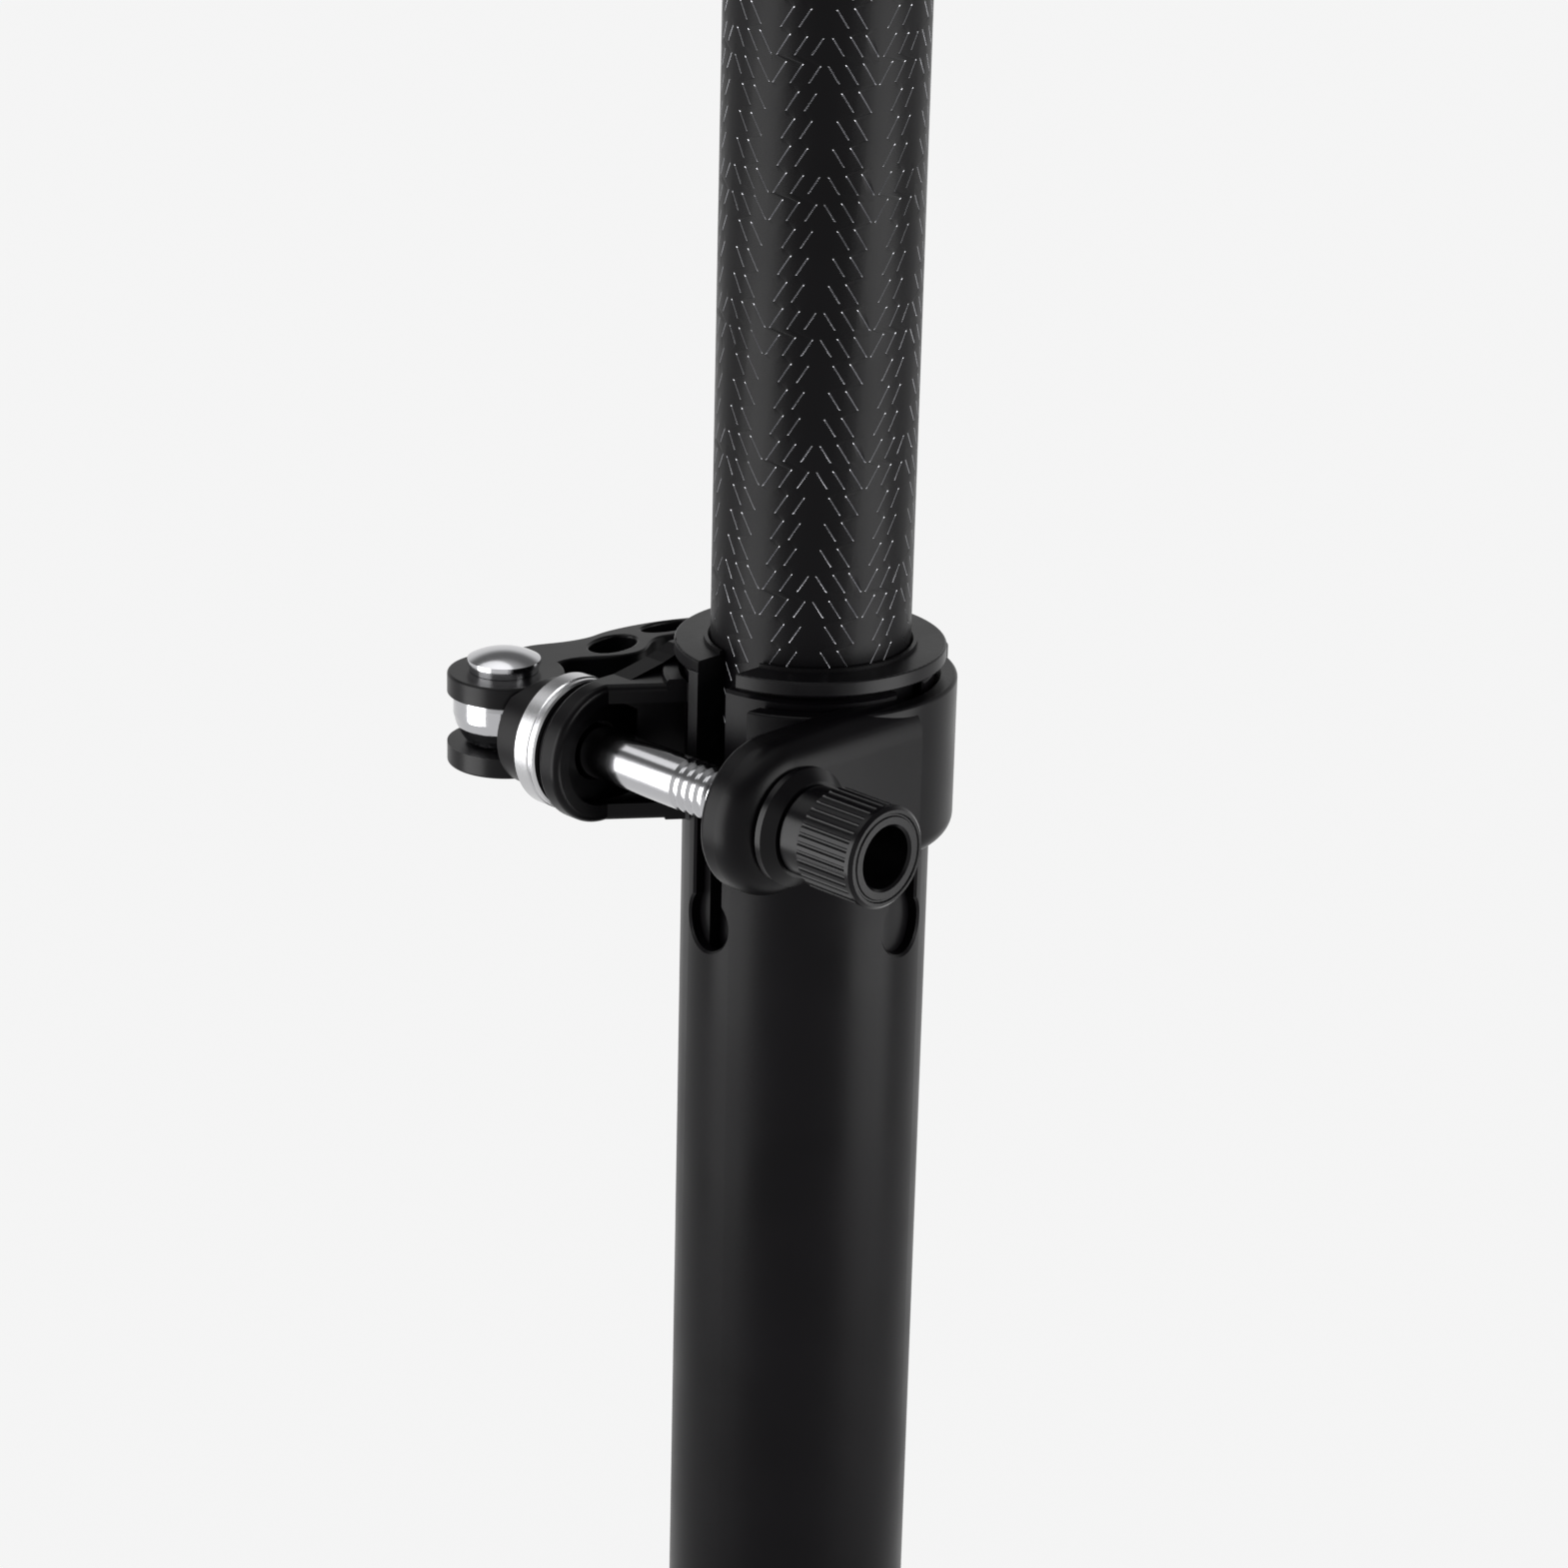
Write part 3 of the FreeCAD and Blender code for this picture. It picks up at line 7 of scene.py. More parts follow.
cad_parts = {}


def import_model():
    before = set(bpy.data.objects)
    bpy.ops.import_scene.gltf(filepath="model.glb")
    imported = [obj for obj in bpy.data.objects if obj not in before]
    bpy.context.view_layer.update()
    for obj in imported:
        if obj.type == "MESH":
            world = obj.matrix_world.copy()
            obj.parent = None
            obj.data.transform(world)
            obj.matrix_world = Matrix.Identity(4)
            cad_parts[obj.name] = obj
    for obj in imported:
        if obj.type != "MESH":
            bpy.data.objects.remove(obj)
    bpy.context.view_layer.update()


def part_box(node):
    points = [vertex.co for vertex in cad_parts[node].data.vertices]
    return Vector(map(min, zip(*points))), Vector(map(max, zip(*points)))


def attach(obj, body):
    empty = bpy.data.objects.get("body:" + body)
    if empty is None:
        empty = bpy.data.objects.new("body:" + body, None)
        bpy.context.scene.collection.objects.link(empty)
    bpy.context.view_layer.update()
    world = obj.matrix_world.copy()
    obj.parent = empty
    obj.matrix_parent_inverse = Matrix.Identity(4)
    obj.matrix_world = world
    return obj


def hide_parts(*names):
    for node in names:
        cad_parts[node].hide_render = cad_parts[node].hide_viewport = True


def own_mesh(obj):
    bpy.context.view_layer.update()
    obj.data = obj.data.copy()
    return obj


bl_info = {
    "name": "Seatpost studio",
    "version": (1, 0, 0),
    "blender": (4, 5, 0),
    "location": "View3D > Sidebar > Seatpost",
    "description": "Finishes, engraved post and studio for a suspension seatpost",
    "category": "Object",
}

# Places and lengths in metres, in the part's own frame.
ROD_LINE = (-0.024, 0.0, 0.2152)
FLANGE_TOP = 0.230

# Scales of the fine tool marks: draw marks along Z, and turned marks about the rod's line.
DRAWN_SCALE = (2200.0, 2200.0, 25.0)
TURNED_SCALE = 5200.0

# Dashes: the least gap between two columns, the narrowest cell that still holds a dash, and
# the widths and runs of the columns in the narrower cells.
LEAST_GAP = 0.0008
NARROWEST = 0.8
NARROW_WIDTH = 0.5
NARROW_RUN = 0.3

# Studio: the sensor, the lamps' places, and the heights where the surroundings darken.
SENSOR_WIDTH = 36.0
NEAR_CLIP, FAR_CLIP = 0.01, 100.0
BOX_LIFT = 0.004
LAMP_AWAY = 2.0
TOP_BOX_TURN = math.radians(100)
TOP_BOX_RISE = math.radians(72)
TOP_BOX_SIZE = math.radians(60)
DARK_FROM, DARK_TO = 0.3, 0.6
CROWN_FROM, CROWN_TO, CROWN_SHARE = 0.75, 0.95, 0.7
DARKEST = 0.8


# ---------------------------------------------------------------- settings

class CameraSettings(bpy.types.PropertyGroup):
    """Where the photographer stood, about the post's axis."""
    azimuth: bpy.props.FloatProperty(
        name="Azimuth", description="Direction of the camera from the post, turned from +X",
        default=math.radians(223.6), subtype="ANGLE")
    distance: bpy.props.FloatProperty(
        name="Distance", description="Level distance from the post's axis",
        default=0.56094, unit="LENGTH")
    height: bpy.props.FloatProperty(
        name="Height", description="Height of the lens above the flange",
        default=0.18836, unit="LENGTH")
    pitch: bpy.props.FloatProperty(
        name="Pitch", description="How far the camera looks down", default=0.3575, subtype="ANGLE")
    yaw: bpy.props.FloatProperty(
        name="Yaw", description="How far it looks to the right of the axis",
        default=-0.0055, subtype="ANGLE")
    roll: bpy.props.FloatProperty(
        name="Roll", description="Turn of the picture about the line of sight",
        default=0.0254, subtype="ANGLE")
    lens: bpy.props.FloatProperty(
        name="Lens", description="Focal length in millimetres on a 36 mm wide sensor", default=100.25)


class StudioSettings(bpy.types.PropertyGroup):
    """Floor, soft lamps and surroundings."""
    floor_size: bpy.props.FloatProperty(
        name="Floor", description="Side of the square floor", default=30.0, unit="LENGTH")
    paper: bpy.props.FloatProperty(
        name="Paper", description="Brightness of the pale floor and backdrop", default=0.93)
    glow: bpy.props.FloatProperty(
        name="Glow", description="Share of the floor's brightness that no shadow takes away", default=0.93)
    box_angle: bpy.props.FloatProperty(
        name="Box angle", description="Both soft boxes, turned from the camera's own direction",
        default=math.radians(66), subtype="ANGLE")
    box_distance: bpy.props.FloatProperty(
        name="Box distance", description="From the post to each soft box", default=0.36, unit="LENGTH")
    box_width: bpy.props.FloatProperty(
        name="Box width", description="Width of each soft box", default=0.27, unit="LENGTH")
    box_height: bpy.props.FloatProperty(
        name="Box height", description="Height of each soft box", default=0.42, unit="LENGTH")
    box_strength: bpy.props.FloatProperty(
        name="Box strength", description="Radiance of each soft box", default=6.0)
    top_strength: bpy.props.FloatProperty(
        name="Top strength", description="Light from the soft box overhead", default=1.0)
    fill: bpy.props.FloatProperty(
        name="Fill", description="Even light from all round", default=0.4)


class PostSettings(bpy.types.PropertyGroup):
    """The telescoping post and the dashes cut in it."""
    radius: bpy.props.FloatProperty(
        name="Radius", description="Outside radius of the post", default=0.0136, unit="LENGTH")
    bore: bpy.props.FloatProperty(
        name="Bore", description="Inside radius of the post", default=0.0117, unit="LENGTH")
    bevel: bpy.props.FloatProperty(
        name="Bevel", description="Bevel at the foot", default=0.0005, unit="LENGTH")
    bands: bpy.props.IntProperty(
        name="Bands", description="Number of upright bands, leaning left and right in turn", default=12)
    first_band: bpy.props.FloatProperty(
        name="First band", description="Direction where the first band starts",
        default=math.radians(223.0), subtype="ANGLE")
    dashes: bpy.props.IntProperty(
        name="Dashes", description="Dashes side by side in one band", default=3)
    pitch: bpy.props.FloatProperty(
        name="Row pitch", description="Distance from one row of dashes to the next",
        default=0.00355, unit="LENGTH")
    drift: bpy.props.FloatProperty(
        name="Drift", description="How far each row is shifted from the one above",
        default=math.radians(2.05), subtype="ANGLE")
    short: bpy.props.FloatProperty(
        name="Short dash", description="Height of a dash where two bands make a peak",
        default=0.0021, unit="LENGTH")
    tall: bpy.props.FloatProperty(
        name="Tall dash", description="Height of a dash where two bands make a V",
        default=0.0030, unit="LENGTH")
    lean: bpy.props.FloatProperty(
        name="Lean", description="Sideways run of a dash for each unit of height", default=0.64)
    half_width: bpy.props.FloatProperty(
        name="Half width", description="Half the width of a cut", default=0.0001, unit="LENGTH")
    depth: bpy.props.FloatProperty(
        name="Depth", description="Depth of a cut", default=0.00009, unit="LENGTH")
    margin: bpy.props.FloatProperty(
        name="Top margin", description="Plain part at the top of the post", default=0.006, unit="LENGTH")
    plain_foot: bpy.props.FloatProperty(
        name="Plain foot", description="Plain part at the foot, inside the sleeve",
        default=0.088, unit="LENGTH")


# ---------------------------------------------------------------- mesh tools

def grid_faces(rows, columns, wrap_rows=True, wrap_columns=True):
    """Quads of a grid: face (i, j) joins (i, j), (i, j+1), (i+1, j+1), (i+1, j)."""
    last_row = rows if wrap_rows else rows - 1
    last_column = columns if wrap_columns else columns - 1
    i, j = np.meshgrid(np.arange(last_row), np.arange(last_column), indexing="ij")
    down, right = (i + 1) % rows, (j + 1) % columns
    corners = np.stack([i * columns + j, i * columns + right, down * columns + right, down * columns + j], -1)
    return corners.reshape(-1, 4)


def new_piece(name, points, faces, materials, slots=None, sharp=math.radians(25)):
    """A mesh object from point and quad arrays, smooth but for edges over the sharp angle."""
    mesh = bpy.data.meshes.new(name)
    points = np.asarray(points, dtype=np.float64)
    faces = np.asarray(faces, dtype=np.int64)
    mesh.from_pydata(points.tolist(), [], faces.tolist())
    for material in materials:
        mesh.materials.append(material)
    if slots is not None:
        mesh.polygons.foreach_set("material_index", np.asarray(slots, dtype=np.int32))
    mesh.polygons.foreach_set("use_smooth", np.ones(len(mesh.polygons), dtype=bool))
    mesh.set_sharp_from_angle(angle=sharp)
    mesh.update()
    piece = bpy.data.objects.new(name, mesh)
    bpy.context.scene.collection.objects.link(piece)
    return piece


# ---------------------------------------------------------------- materials

class Nodes:
    """Small helper that adds and links nodes of one tree."""

    def __init__(self, tree):
        self.tree = tree
        tree.nodes.clear()

    def add(self, kind, values=None, **settings):
        node = self.tree.nodes.new(kind)
        for name, value in settings.items():
            setattr(node, name, value)
        for name, value in (values or {}).items():
            if isinstance(value, bpy.types.NodeSocket):
                self.tree.links.new(value, node.inputs[name])
            else:
                node.inputs[name].default_value = value
        return node

    def math(self, operation, a, b=0.0):
        return self.add("ShaderNodeMath", {0: a, 1: b}, operation=operation).outputs[0]


def rgba(colour):
    """A colour with full opacity."""
    return (*colour, 1.0)


def surface(name, colour, roughness, metallic=0.0, ior=1.45, variation=0.25, rough_spread=0.06,
            grain_scale=1800.0, grain_height=6e-6, patch_scale=45.0, lines=None, line_height=3e-6,
            axis=(0.0, 0.0, 0.0)):
    """A solid finish: patchy colour and gloss from a broad noise, relief from a fine one.

    lines is None, "upright" for fine draw marks along Z, or "turned" for tool marks about the
    line through axis along Y.
    """
    material = bpy.data.materials.new(name + "_finish")
    material.use_nodes = True
    nodes = Nodes(material.node_tree)
    spot = nodes.add("ShaderNodeTexCoord").outputs["Object"]
    patch = nodes.add("ShaderNodeTexNoise", {"Vector": spot, "Scale": patch_scale, "Detail": 5.0})
    grain = nodes.add("ShaderNodeTexNoise", {"Vector": spot, "Scale": grain_scale, "Detail": 3.0})
    ramp = nodes.add("ShaderNodeValToRGB", {"Fac": patch.outputs["Fac"]})
    ramp.color_ramp.elements[0].position = 0.3
    ramp.color_ramp.elements[1].position = 0.7
    ramp.color_ramp.elements[0].color = rgba([c * (1 - variation) for c in colour])
    ramp.color_ramp.elements[1].color = rgba([c * (1 + variation) for c in colour])
    gloss = nodes.add("ShaderNodeMapRange", {
        "Value": patch.outputs["Fac"], "From Min": 0.3, "From Max": 0.7,
        "To Min": roughness - rough_spread, "To Max": roughness + rough_spread})
    height = nodes.math("MULTIPLY", grain.outputs["Fac"], grain_height)
    if lines == "upright":
        stretch = nodes.add("ShaderNodeMapping", {"Vector": spot, "Scale": DRAWN_SCALE})
        marks = nodes.add("ShaderNodeTexNoise", {"Vector": stretch.outputs[0], "Scale": 1.0, "Detail": 2.0})
        height = nodes.math("ADD", height, nodes.math("MULTIPLY", marks.outputs["Fac"], line_height))
    if lines == "turned":
        shift = nodes.add("ShaderNodeVectorMath", {0: spot, 1: axis}, operation="SUBTRACT")
        parts = nodes.add("ShaderNodeSeparateXYZ", {0: shift.outputs[0]})
        across = nodes.math("SQRT", nodes.math(
            "ADD", nodes.math("POWER", parts.outputs[0], 2.0), nodes.math("POWER", parts.outputs[2], 2.0)))
        rings = nodes.add("ShaderNodeCombineXYZ", {0: across, 1: parts.outputs[1]})
        marks = nodes.add("ShaderNodeTexNoise", {
            "Vector": rings.outputs[0], "Scale": TURNED_SCALE, "Detail": 2.0})
        height = nodes.math("ADD", height, nodes.math("MULTIPLY", marks.outputs["Fac"], line_height))
    relief = nodes.add("ShaderNodeBump", {"Height": height, "Strength": 1.0, "Distance": 1.0})
    shader = nodes.add("ShaderNodeBsdfPrincipled", {
        "Base Color": ramp.outputs["Color"], "Roughness": gloss.outputs["Result"],
        "Metallic": metallic, "IOR": ior, "Normal": relief.outputs["Normal"]})
    nodes.add("ShaderNodeOutputMaterial", {"Surface": shader.outputs[0]})
    material.diffuse_color = rgba(colour)
    return material


def finishes():
    """Every material by name."""
    return {
        "tube_black": surface("tube_black", (0.0014, 0.0011, 0.0016), 0.36, ior=1.19,
                              grain_height=5e-6, lines="upright", line_height=1.2e-6),
        "post_black": surface("post_black", (0.0014, 0.0012, 0.0016), 0.37, ior=1.19,
                              grain_scale=2200.0, grain_height=6e-6),
        "cut_metal": surface("cut_metal", (0.26, 0.26, 0.275), 0.3, metallic=1.0,
                             grain_height=4e-6),
        "collar_black": surface("collar_black", (0.0014, 0.0012, 0.0016), 0.32, ior=1.2,
                                grain_scale=1400.0, grain_height=6e-6),
        "lever_black": surface("lever_black", (0.002, 0.0018, 0.0022), 0.32, ior=1.24,
                               grain_scale=1500.0, grain_height=5e-6),
        "nut_black": surface("nut_black", (0.0016, 0.0014, 0.0018), 0.2, ior=1.24,
                             grain_scale=1700.0, grain_height=3e-6, lines="turned", axis=ROD_LINE),
        "sleeve_black": surface("sleeve_black", (0.002, 0.0018, 0.0022), 0.36, ior=1.24,
                                grain_scale=900.0, grain_height=9e-6),
        "washer_black": surface("washer_black", (0.0024, 0.0021, 0.0025), 0.3, ior=1.23,
                                grain_scale=1700.0, grain_height=3e-6, lines="turned", axis=ROD_LINE),
        "polished_steel": surface("polished_steel", (0.47, 0.47, 0.485), 0.13, metallic=1.0, variation=0.04,
                                  rough_spread=0.03, grain_scale=900.0, grain_height=6e-7,
                                  lines="turned", line_height=6e-7, axis=ROD_LINE),
        "brushed_steel": surface("brushed_steel", (0.5, 0.5, 0.51), 0.24, metallic=1.0, variation=0.05,
                                 rough_spread=0.04, grain_height=1e-6,
                                 lines="turned", line_height=2.4e-6, axis=ROD_LINE),
        "bolt_steel": surface("bolt_steel", (0.62, 0.62, 0.64), 0.28, metallic=1.0, variation=0.06,
                              grain_height=2e-6),
        "rubber": surface("rubber", (0.012, 0.012, 0.012), 0.7, ior=1.5, grain_height=1.5e-5),
        "bushing": surface("bushing", (0.06, 0.06, 0.065), 0.4, ior=1.45, grain_height=5e-6),
        "brass": surface("brass", (0.6, 0.42, 0.16), 0.25, metallic=1.0, variation=0.08, grain_height=2e-6),
        "spring_steel": surface("spring_steel", (0.2, 0.2, 0.215), 0.3, metallic=1.0, variation=0.1,
                                grain_height=3e-6),
        "elastomer": surface("elastomer", (0.55, 0.36, 0.05), 0.5, ior=1.5, grain_height=8e-6),
    }


NODE_FINISH = {
    "lower_tube": "tube_black", "lower_tube_plug": "rubber", "shim_sleeve": "sleeve_black",
    "clamp_collar": "collar_black", "steel_washer": "brushed_steel", "cam_washer": "washer_black",
    "skewer_rod": "polished_steel", "skewer_barrel": "polished_steel", "pivot_rivet": "polished_steel",
    "cam_lever": "lever_black", "nut_washer": "nut_black", "knurled_nut": "nut_black",
    "post_tube": "post_black", "post_cap_nut": "tube_black", "wiper_seal": "rubber",
    "upper_bushing": "bushing", "lower_bushing": "bushing", "key_pin_left": "brass",
    "key_pin_right": "brass", "retainer_plug": "tube_black", "lower_spring_seat": "bushing",
    "elastomer_bumper": "elastomer", "coil_spring": "spring_steel", "stanchion": "polished_steel",
    "guide_piston": "bushing", "upper_spring_seat": "bushing", "head_barrel": "collar_black",
    "inner_clamp_left": "collar_black", "inner_clamp_right": "collar_black",
    "outer_clamp_left": "collar_black", "outer_clamp_right": "collar_black",
    "clamp_washer_left": "bolt_steel", "clamp_washer_right": "bolt_steel",
    "clamp_bolt": "bolt_steel", "clamp_nut": "bolt_steel",
}


MADE = {}


def own(name):
    """The finish of that name, made with all the others on first use."""
    if not MADE:
        MADE.update(finishes())
    return MADE[name]


# ---------------------------------------------------------------- the engraved post

def post_surface(settings, foot, top):
    """Points, quads and slots of the post: a closed ring of rows and columns.

    Row k of dashes is centred at z = top - margin - (k + 1/2) pitch. In band b, from angle
    A = first_band + b w, its cells start at A + cell i - (k drift mod cell), with w the band's
    angle and cell = w / dashes. A dash runs at theta = middle +- lean height t / radius,
    z = centre - height t, for t in -1/2..1/2, and its middle column lies a depth below the
    others.
    """
    band = 2 * math.pi / settings.bands
    cell = band / settings.dashes
    cells = settings.dashes + 1
    count = int((top - foot - settings.margin - settings.plain_foot) / settings.pitch)
    shares = np.array([-0.5, -0.42, 0.42, 0.5])
    sunk = np.array([0.0, 1.0, 1.0, 0.0])

    rows = np.arange(count)[:, None, None]
    which = np.arange(settings.bands)[None, :, None]
    index = np.arange(cells + 1)[None, None, :]
    shift = -np.mod(rows * settings.drift, cell)
    edges = np.clip(shift + index * cell, LEAST_GAP * index, band - LEAST_GAP * (cells - index))
    edges = edges + 0 * which
    left, right = edges[..., :-1], edges[..., 1:]
    width = right - left
    middle = (left + right) / 2
    there = width > NARROWEST * cell
    rising = (np.arange(settings.bands) % 2 == 0)[None, :, None]

    def height_at(angle):
        """Height of a dash at an angle from the band's start."""
        nearness = np.where(rising, angle / band, 1 - angle / band)
        return settings.short + (settings.tall - settings.short) * nearness

    half = np.where(there, 1.0, width / cell * NARROW_WIDTH) * settings.half_width / settings.radius
    run = np.where(there, 1.0, width / cell * NARROW_RUN) * settings.lean
    run = run * height_at(middle) / settings.radius
    way = np.where(rising, 1.0, -1.0)

    share = shares[None, :, None, None]
    centre = (middle + 0 * width)[:, None] + (way * run)[:, None] * share
    left4, right4, half4 = left[:, None] + 0 * share, right[:, None] + 0 * share, half[:, None]
    columns = np.stack([
        left4,
        (left4 + centre - half4) / 2,
        centre - half4,
        centre,
        centre + half4,
        (right4 + centre + half4) / 2,
    ], axis=-1)
    start = settings.first_band + which[:, None, :, :] * band
    angles = (columns + start[..., None]).reshape(count * 4, -1)

    own_height = np.stack([height_at(left)] + [height_at(middle)] * 5, axis=-1)[:, None]
    level = top - settings.margin - (rows + 0.5) * settings.pitch
    heights = level[:, None, ..., None] - own_height * share[..., None]
    heights = (heights + 0 * columns).reshape(count * 4, -1)

    depth = np.zeros(columns.shape)
    depth[..., 3] = there[:, None] * sunk[None, :, None, None] * settings.depth
    radii = settings.radius - depth.reshape(count * 4, -1)

    cut = np.zeros(columns.shape, dtype=np.int32)
    cut[:, :3, :, :, 2:4] = there[:, None, :, :, None]
    cut = cut.reshape(count * 4, -1)

    def ring(radius, height, like):
        """One level row of points at the given angles."""
        return like[None, :], np.full((1, like.size), height), np.full((1, like.size), radius)

    even = settings.first_band + np.linspace(0, 2 * math.pi, angles.shape[1], endpoint=False)
    parts = [ring(settings.radius, top, even),
             (angles, heights, radii),
             ring(settings.radius, foot + settings.bevel, even),
             ring(settings.radius - settings.bevel, foot, even),
             ring(settings.bore, foot, even),
             ring(settings.bore, top, even)]
    angles, heights, radii = [np.concatenate([part[n] for part in parts]) for n in range(3)]
    cut = np.concatenate([np.zeros((1, cut.shape[1]), int), cut, np.zeros((4, cut.shape[1]), int)])
    points = np.stack([radii * np.cos(angles), radii * np.sin(angles), heights], -1).reshape(-1, 3)
    faces = grid_faces(*angles.shape)[:, ::-1]
    return points, faces, cut.reshape(-1)


class SEATPOST_OT_post(bpy.types.Operator):
    """Replace the plain post tube with one that has its engraved dashes"""
    bl_idname = "seatpost.post"
    bl_label = "Engraved post"

    def execute(self, context):
        low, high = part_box("post_tube")
        points, faces, slots = post_surface(context.scene.seatpost_post, low[2], high[2])
        piece = new_piece("post_skin", points, faces, [own("post_black"), own("cut_metal")], slots)
        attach(piece, "post")
        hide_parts("post_tube")
        return {"FINISHED"}


class SEATPOST_OT_finishes(bpy.types.Operator):
    """Give every piece of the frame its own finish"""
    bl_idname = "seatpost.finishes"
    bl_label = "Finishes"

    def execute(self, context):
        for name, finish in NODE_FINISH.items():
            node = bpy.data.objects.get(name)
            if node is None or node.type != "MESH":
                raise RuntimeError("no piece called " + name)
            for slot in node.material_slots:
                slot.material = own(finish)
        return {"FINISHED"}


class SEATPOST_OT_spring(bpy.types.Operator):
    """Give the coil spring its own copy of its mesh"""
    bl_idname = "seatpost.spring"
    bl_label = "Spring"

    def execute(self, context):
        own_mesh(bpy.data.objects["coil_spring"])
        return {"FINISHED"}


# ---------------------------------------------------------------- studio

def aim(settings, flange):
    """The camera's place and turn: distance and height about the post, then yaw, pitch and roll."""
    out = Vector((math.cos(settings.azimuth), math.sin(settings.azimuth), 0))
    ahead, up = -out, Vector((0, 0, 1))
    side = ahead.cross(up)
    look = (math.sin(settings.yaw) * side + math.cos(settings.yaw) * ahead) * math.cos(settings.pitch)
    look -= math.sin(settings.pitch) * up
    right = look.cross(up).normalized()
    over = right.cross(look)
    turned = math.cos(settings.roll) * right + math.sin(settings.roll) * over
    raised = -math.sin(settings.roll) * right + math.cos(settings.roll) * over
    place = out * settings.distance + up * (flange + settings.height)
    matrix = Matrix((turned, raised, -look)).transposed().to_4x4()
    matrix.translation = place
    return matrix


def seen_rays(nodes):
    """1 for rays from the camera, from gloss and through glass, 0 for the rest."""
    path = nodes.add("ShaderNodeLightPath")
    some = nodes.math("MAXIMUM", path.outputs["Is Camera Ray"], path.outputs["Is Glossy Ray"])
    return nodes.math("MAXIMUM", some, path.outputs["Is Transmission Ray"])


def floor_material(settings):
    """Pale paper: part glow, part diffuse so that the object's shadow stays."""
    material = bpy.data.materials.new("paper_floor")
    material.use_nodes = True
    nodes = Nodes(material.node_tree)
    spot = nodes.add("ShaderNodeTexCoord").outputs["Object"]
    tooth = nodes.add("ShaderNodeTexNoise", {"Vector": spot, "Scale": 900.0, "Detail": 2.0})
    relief = nodes.add("ShaderNodeBump", {
        "Height": tooth.outputs["Fac"], "Strength": 0.05, "Distance": 0.0002})
    share = settings.paper * (1 - settings.glow)
    lit = nodes.add("ShaderNodeBsdfDiffuse", {"Color": (share, share, share, 1), "Normal": relief.outputs[0]})
    glow = nodes.add("ShaderNodeEmission", {
        "Color": (1, 1, 1, 1), "Strength": settings.paper * settings.glow})
    both = nodes.add("ShaderNodeAddShader", {0: lit.outputs[0], 1: glow.outputs[0]})
    plain = nodes.add("ShaderNodeBsdfDiffuse", {"Color": (0.8, 0.8, 0.8, 1)})
    mix = nodes.add("ShaderNodeMixShader", {0: seen_rays(nodes), 1: plain.outputs[0], 2: both.outputs[0]})
    nodes.add("ShaderNodeOutputMaterial", {"Surface": mix.outputs[0]})
    return material


def standing_box(name, azimuth, studio):
    """A soft box that stands on the floor beside the object and faces the post."""
    lamp = bpy.data.lights.new(name, "AREA")
    lamp.shape = "RECTANGLE"
    lamp.size, lamp.size_y = studio.box_width, studio.box_height
    lamp.energy = studio.box_strength * math.pi * studio.box_width * studio.box_height
    holder = bpy.data.objects.new(name, lamp)
    out = Vector((math.cos(azimuth), math.sin(azimuth), 0))
    holder.rotation_euler = out.to_track_quat("Z", "Y").to_euler()
    holder.location = out * studio.box_distance + Vector((0, 0, studio.box_height / 2 + BOX_LIFT))
    holder.visible_camera = False
    bpy.context.scene.collection.objects.link(holder)
    return holder


def spare(lamp, piece):
    """Keep a lamp's light off one piece, so that a box leaves no bright patch on the floor."""
    spared = bpy.data.collections.new(lamp.name + "_spares")
    spared.objects.link(piece)
    spared.collection_objects[0].light_linking.link_state = "EXCLUDE"
    lamp.light_linking.receiver_collection = spared


def soft_lamp(name, azimuth, rise, size, strength):
    """A far soft box seen from the object under the given direction and angle."""
    lamp = bpy.data.lights.new(name, "SUN")
    lamp.energy = strength
    lamp.angle = size
    holder = bpy.data.objects.new(name, lamp)
    out = Vector((math.cos(azimuth) * math.cos(rise),
                  math.sin(azimuth) * math.cos(rise), math.sin(rise)))
    holder.rotation_euler = out.to_track_quat("Z", "Y").to_euler()
    holder.location = out * LAMP_AWAY
    bpy.context.scene.collection.objects.link(holder)
    return holder


def build_world(studio):
    """White round the horizon, a darker belt overhead, and even light for matt surfaces."""
    world = bpy.data.worlds.new("studio")
    bpy.context.scene.world = world
    world.use_nodes = True
    nodes = Nodes(world.node_tree)
    way = nodes.add("ShaderNodeSeparateXYZ", {0: nodes.add("ShaderNodeTexCoord").outputs["Generated"]})
    rise = nodes.add("ShaderNodeMapRange", {
        "Value": way.outputs[2], "From Min": DARK_FROM, "From Max": DARK_TO,
        "To Min": 0.0, "To Max": 1.0},
        interpolation_type="SMOOTHSTEP")
    crown = nodes.add("ShaderNodeMapRange", {
        "Value": way.outputs[2], "From Min": CROWN_FROM, "From Max": CROWN_TO,
        "To Min": 0.0, "To Max": CROWN_SHARE},
        interpolation_type="SMOOTHSTEP")
    dark = nodes.math("SUBTRACT", rise.outputs[0], crown.outputs[0])
    shade = nodes.math("MULTIPLY", dark, DARKEST)
    tone = nodes.math("MULTIPLY", nodes.math("SUBTRACT", 1.0, shade), studio.paper)
    seen = seen_rays(nodes)
    strength = nodes.math("ADD", nodes.math("MULTIPLY", seen, tone),
                          nodes.math("MULTIPLY", nodes.math("SUBTRACT", 1.0, seen), studio.fill))
    back = nodes.add("ShaderNodeBackground", {"Color": (1, 1, 1, 1), "Strength": strength})
    nodes.add("ShaderNodeOutputWorld", {"Surface": back.outputs[0]})


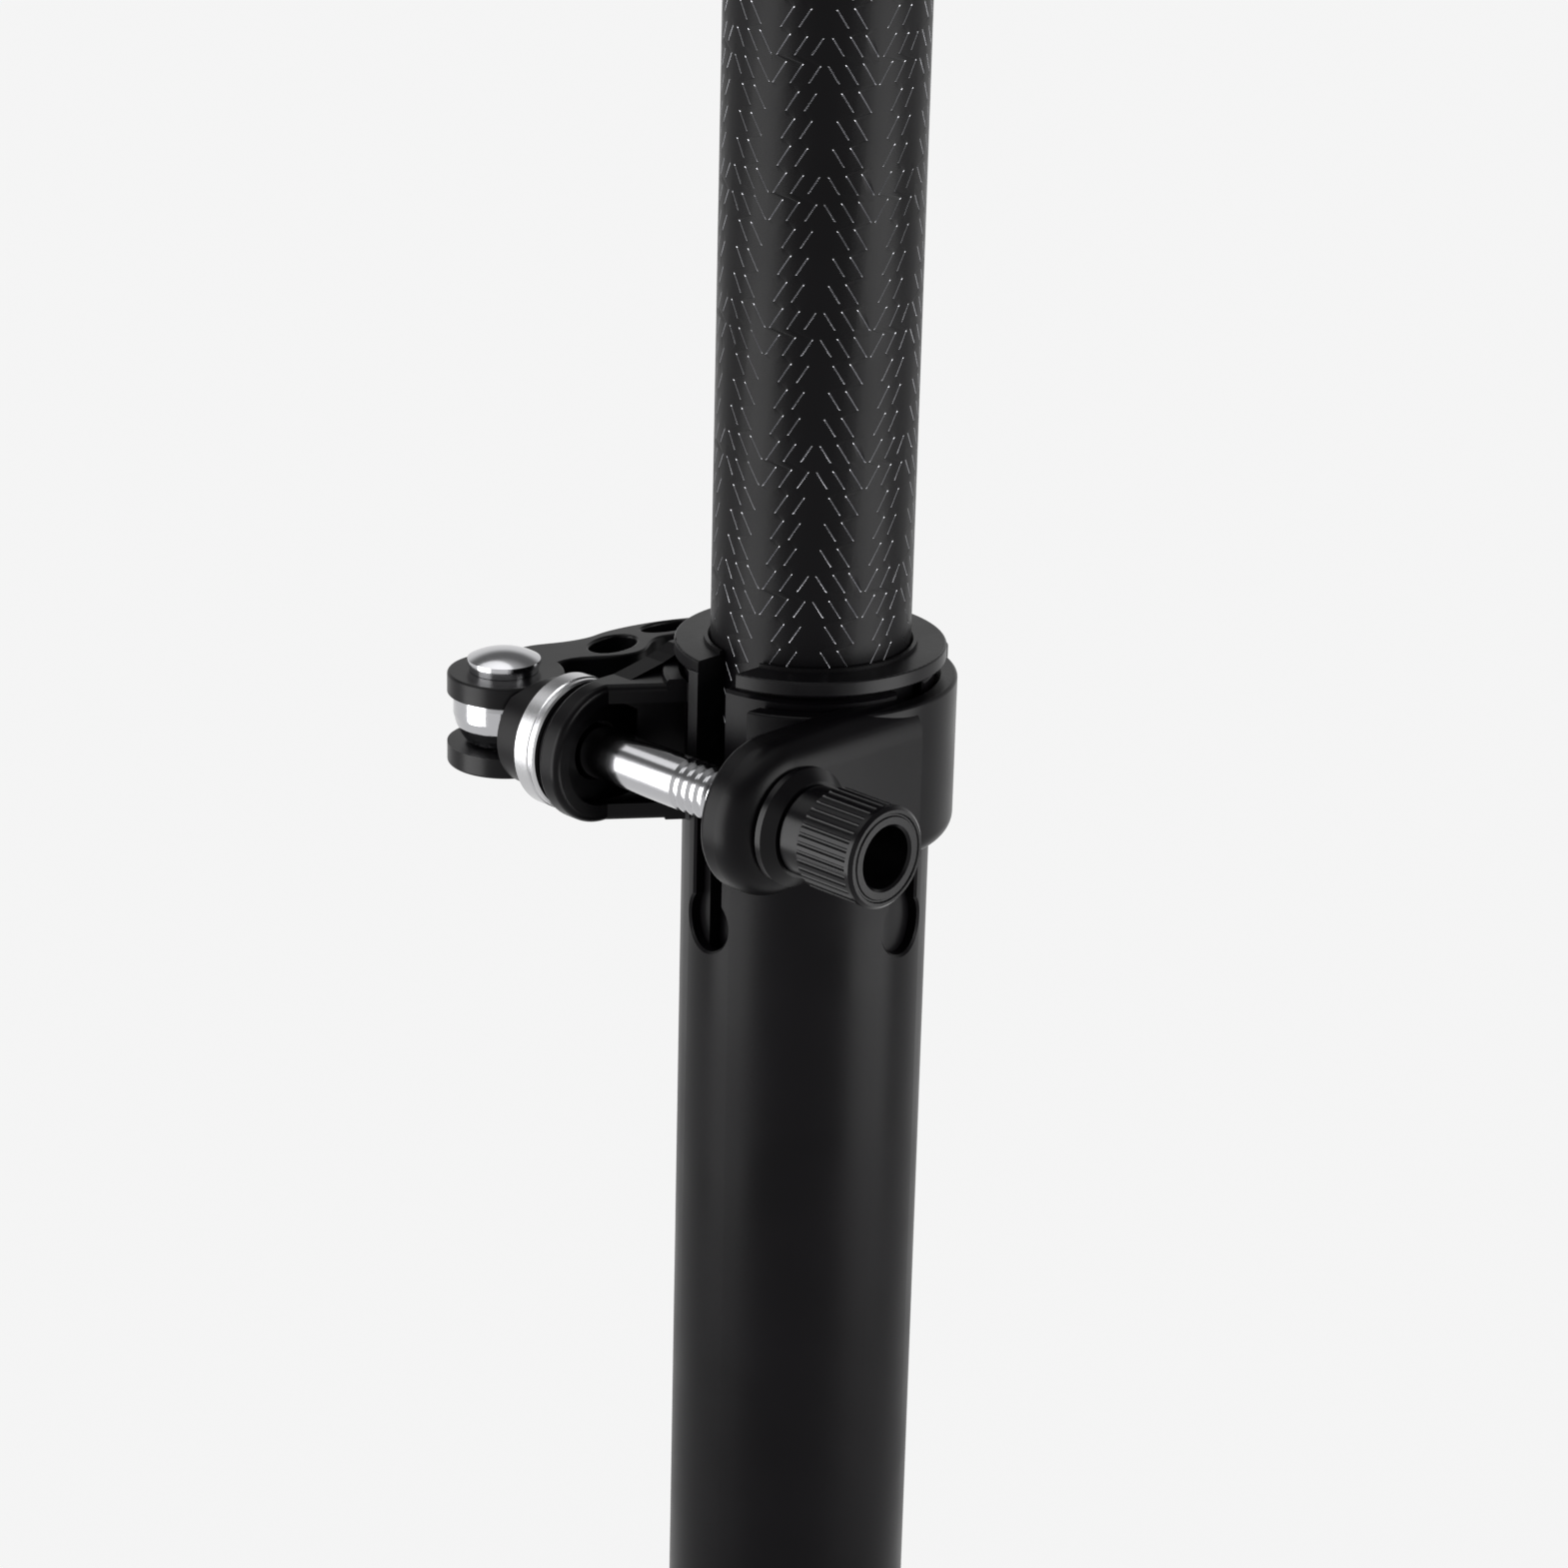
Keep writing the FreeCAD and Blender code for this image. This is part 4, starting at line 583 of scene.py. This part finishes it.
class SEATPOST_OT_stage(bpy.types.Operator):
    """Set up the camera, the pale floor and the soft studio light"""
    bl_idname = "seatpost.stage"
    bl_label = "Studio"

    def execute(self, context):
        scene = context.scene
        scene.view_settings.view_transform = "Standard"
        view, studio = scene.seatpost_camera, scene.seatpost_studio

        data = bpy.data.cameras.new("photo_camera")
        data.sensor_fit = "HORIZONTAL"
        data.sensor_width = SENSOR_WIDTH
        data.lens = view.lens
        data.clip_start, data.clip_end = NEAR_CLIP, FAR_CLIP
        camera = bpy.data.objects.new("photo_camera", data)
        scene.collection.objects.link(camera)
        camera.matrix_world = aim(view, FLANGE_TOP)
        scene.camera = camera

        half = studio.floor_size / 2
        corners = [(-half, -half, 0), (half, -half, 0), (half, half, 0), (-half, half, 0)]
        floor = new_piece("floor", corners, [(0, 1, 2, 3)], [floor_material(studio)])
        spare(standing_box("left_box", view.azimuth - studio.box_angle, studio), floor)
        spare(standing_box("right_box", view.azimuth + studio.box_angle, studio), floor)
        soft_lamp("top_box", view.azimuth - TOP_BOX_TURN, TOP_BOX_RISE, TOP_BOX_SIZE,
                  studio.top_strength)
        build_world(studio)
        return {"FINISHED"}


# ---------------------------------------------------------------- sidebar

OPERATORS = (SEATPOST_OT_finishes, SEATPOST_OT_post, SEATPOST_OT_stage, SEATPOST_OT_spring)
SETTINGS = {"seatpost_camera": CameraSettings, "seatpost_studio": StudioSettings,
            "seatpost_post": PostSettings}


class SEATPOST_PT_panel(bpy.types.Panel):
    """Buttons and settings of the seatpost scene"""
    bl_label = "Seatpost"
    bl_idname = "SEATPOST_PT_panel"
    bl_space_type = "VIEW_3D"
    bl_region_type = "UI"
    bl_category = "Seatpost"

    def draw(self, context):
        for operator in OPERATORS:
            self.layout.operator(operator.bl_idname)
        for name in SETTINGS:
            group = getattr(context.scene, name)
            box = self.layout.box()
            for key in group.__annotations__:
                box.prop(group, key)


def register():
    """Make the settings, the operators and the panel known to Blender."""
    for group in SETTINGS.values():
        bpy.utils.register_class(group)
    for name, group in SETTINGS.items():
        setattr(bpy.types.Scene, name, bpy.props.PointerProperty(type=group))
    for item in OPERATORS + (SEATPOST_PT_panel,):
        bpy.utils.register_class(item)


def unregister():
    """Take away all that register() added."""
    for item in (SEATPOST_PT_panel,) + OPERATORS[::-1]:
        bpy.utils.unregister_class(item)
    for name, group in SETTINGS.items():
        delattr(bpy.types.Scene, name)
        bpy.utils.unregister_class(group)


def plain(bounds):
    return [[float(value) for value in corner] for corner in bounds]


def main():
    """Dress the frame."""
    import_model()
    register()
    for operator in OPERATORS:
        group, name = operator.bl_idname.split(".")
        getattr(getattr(bpy.ops, group), name)()


if __name__ == "__main__":
    main()
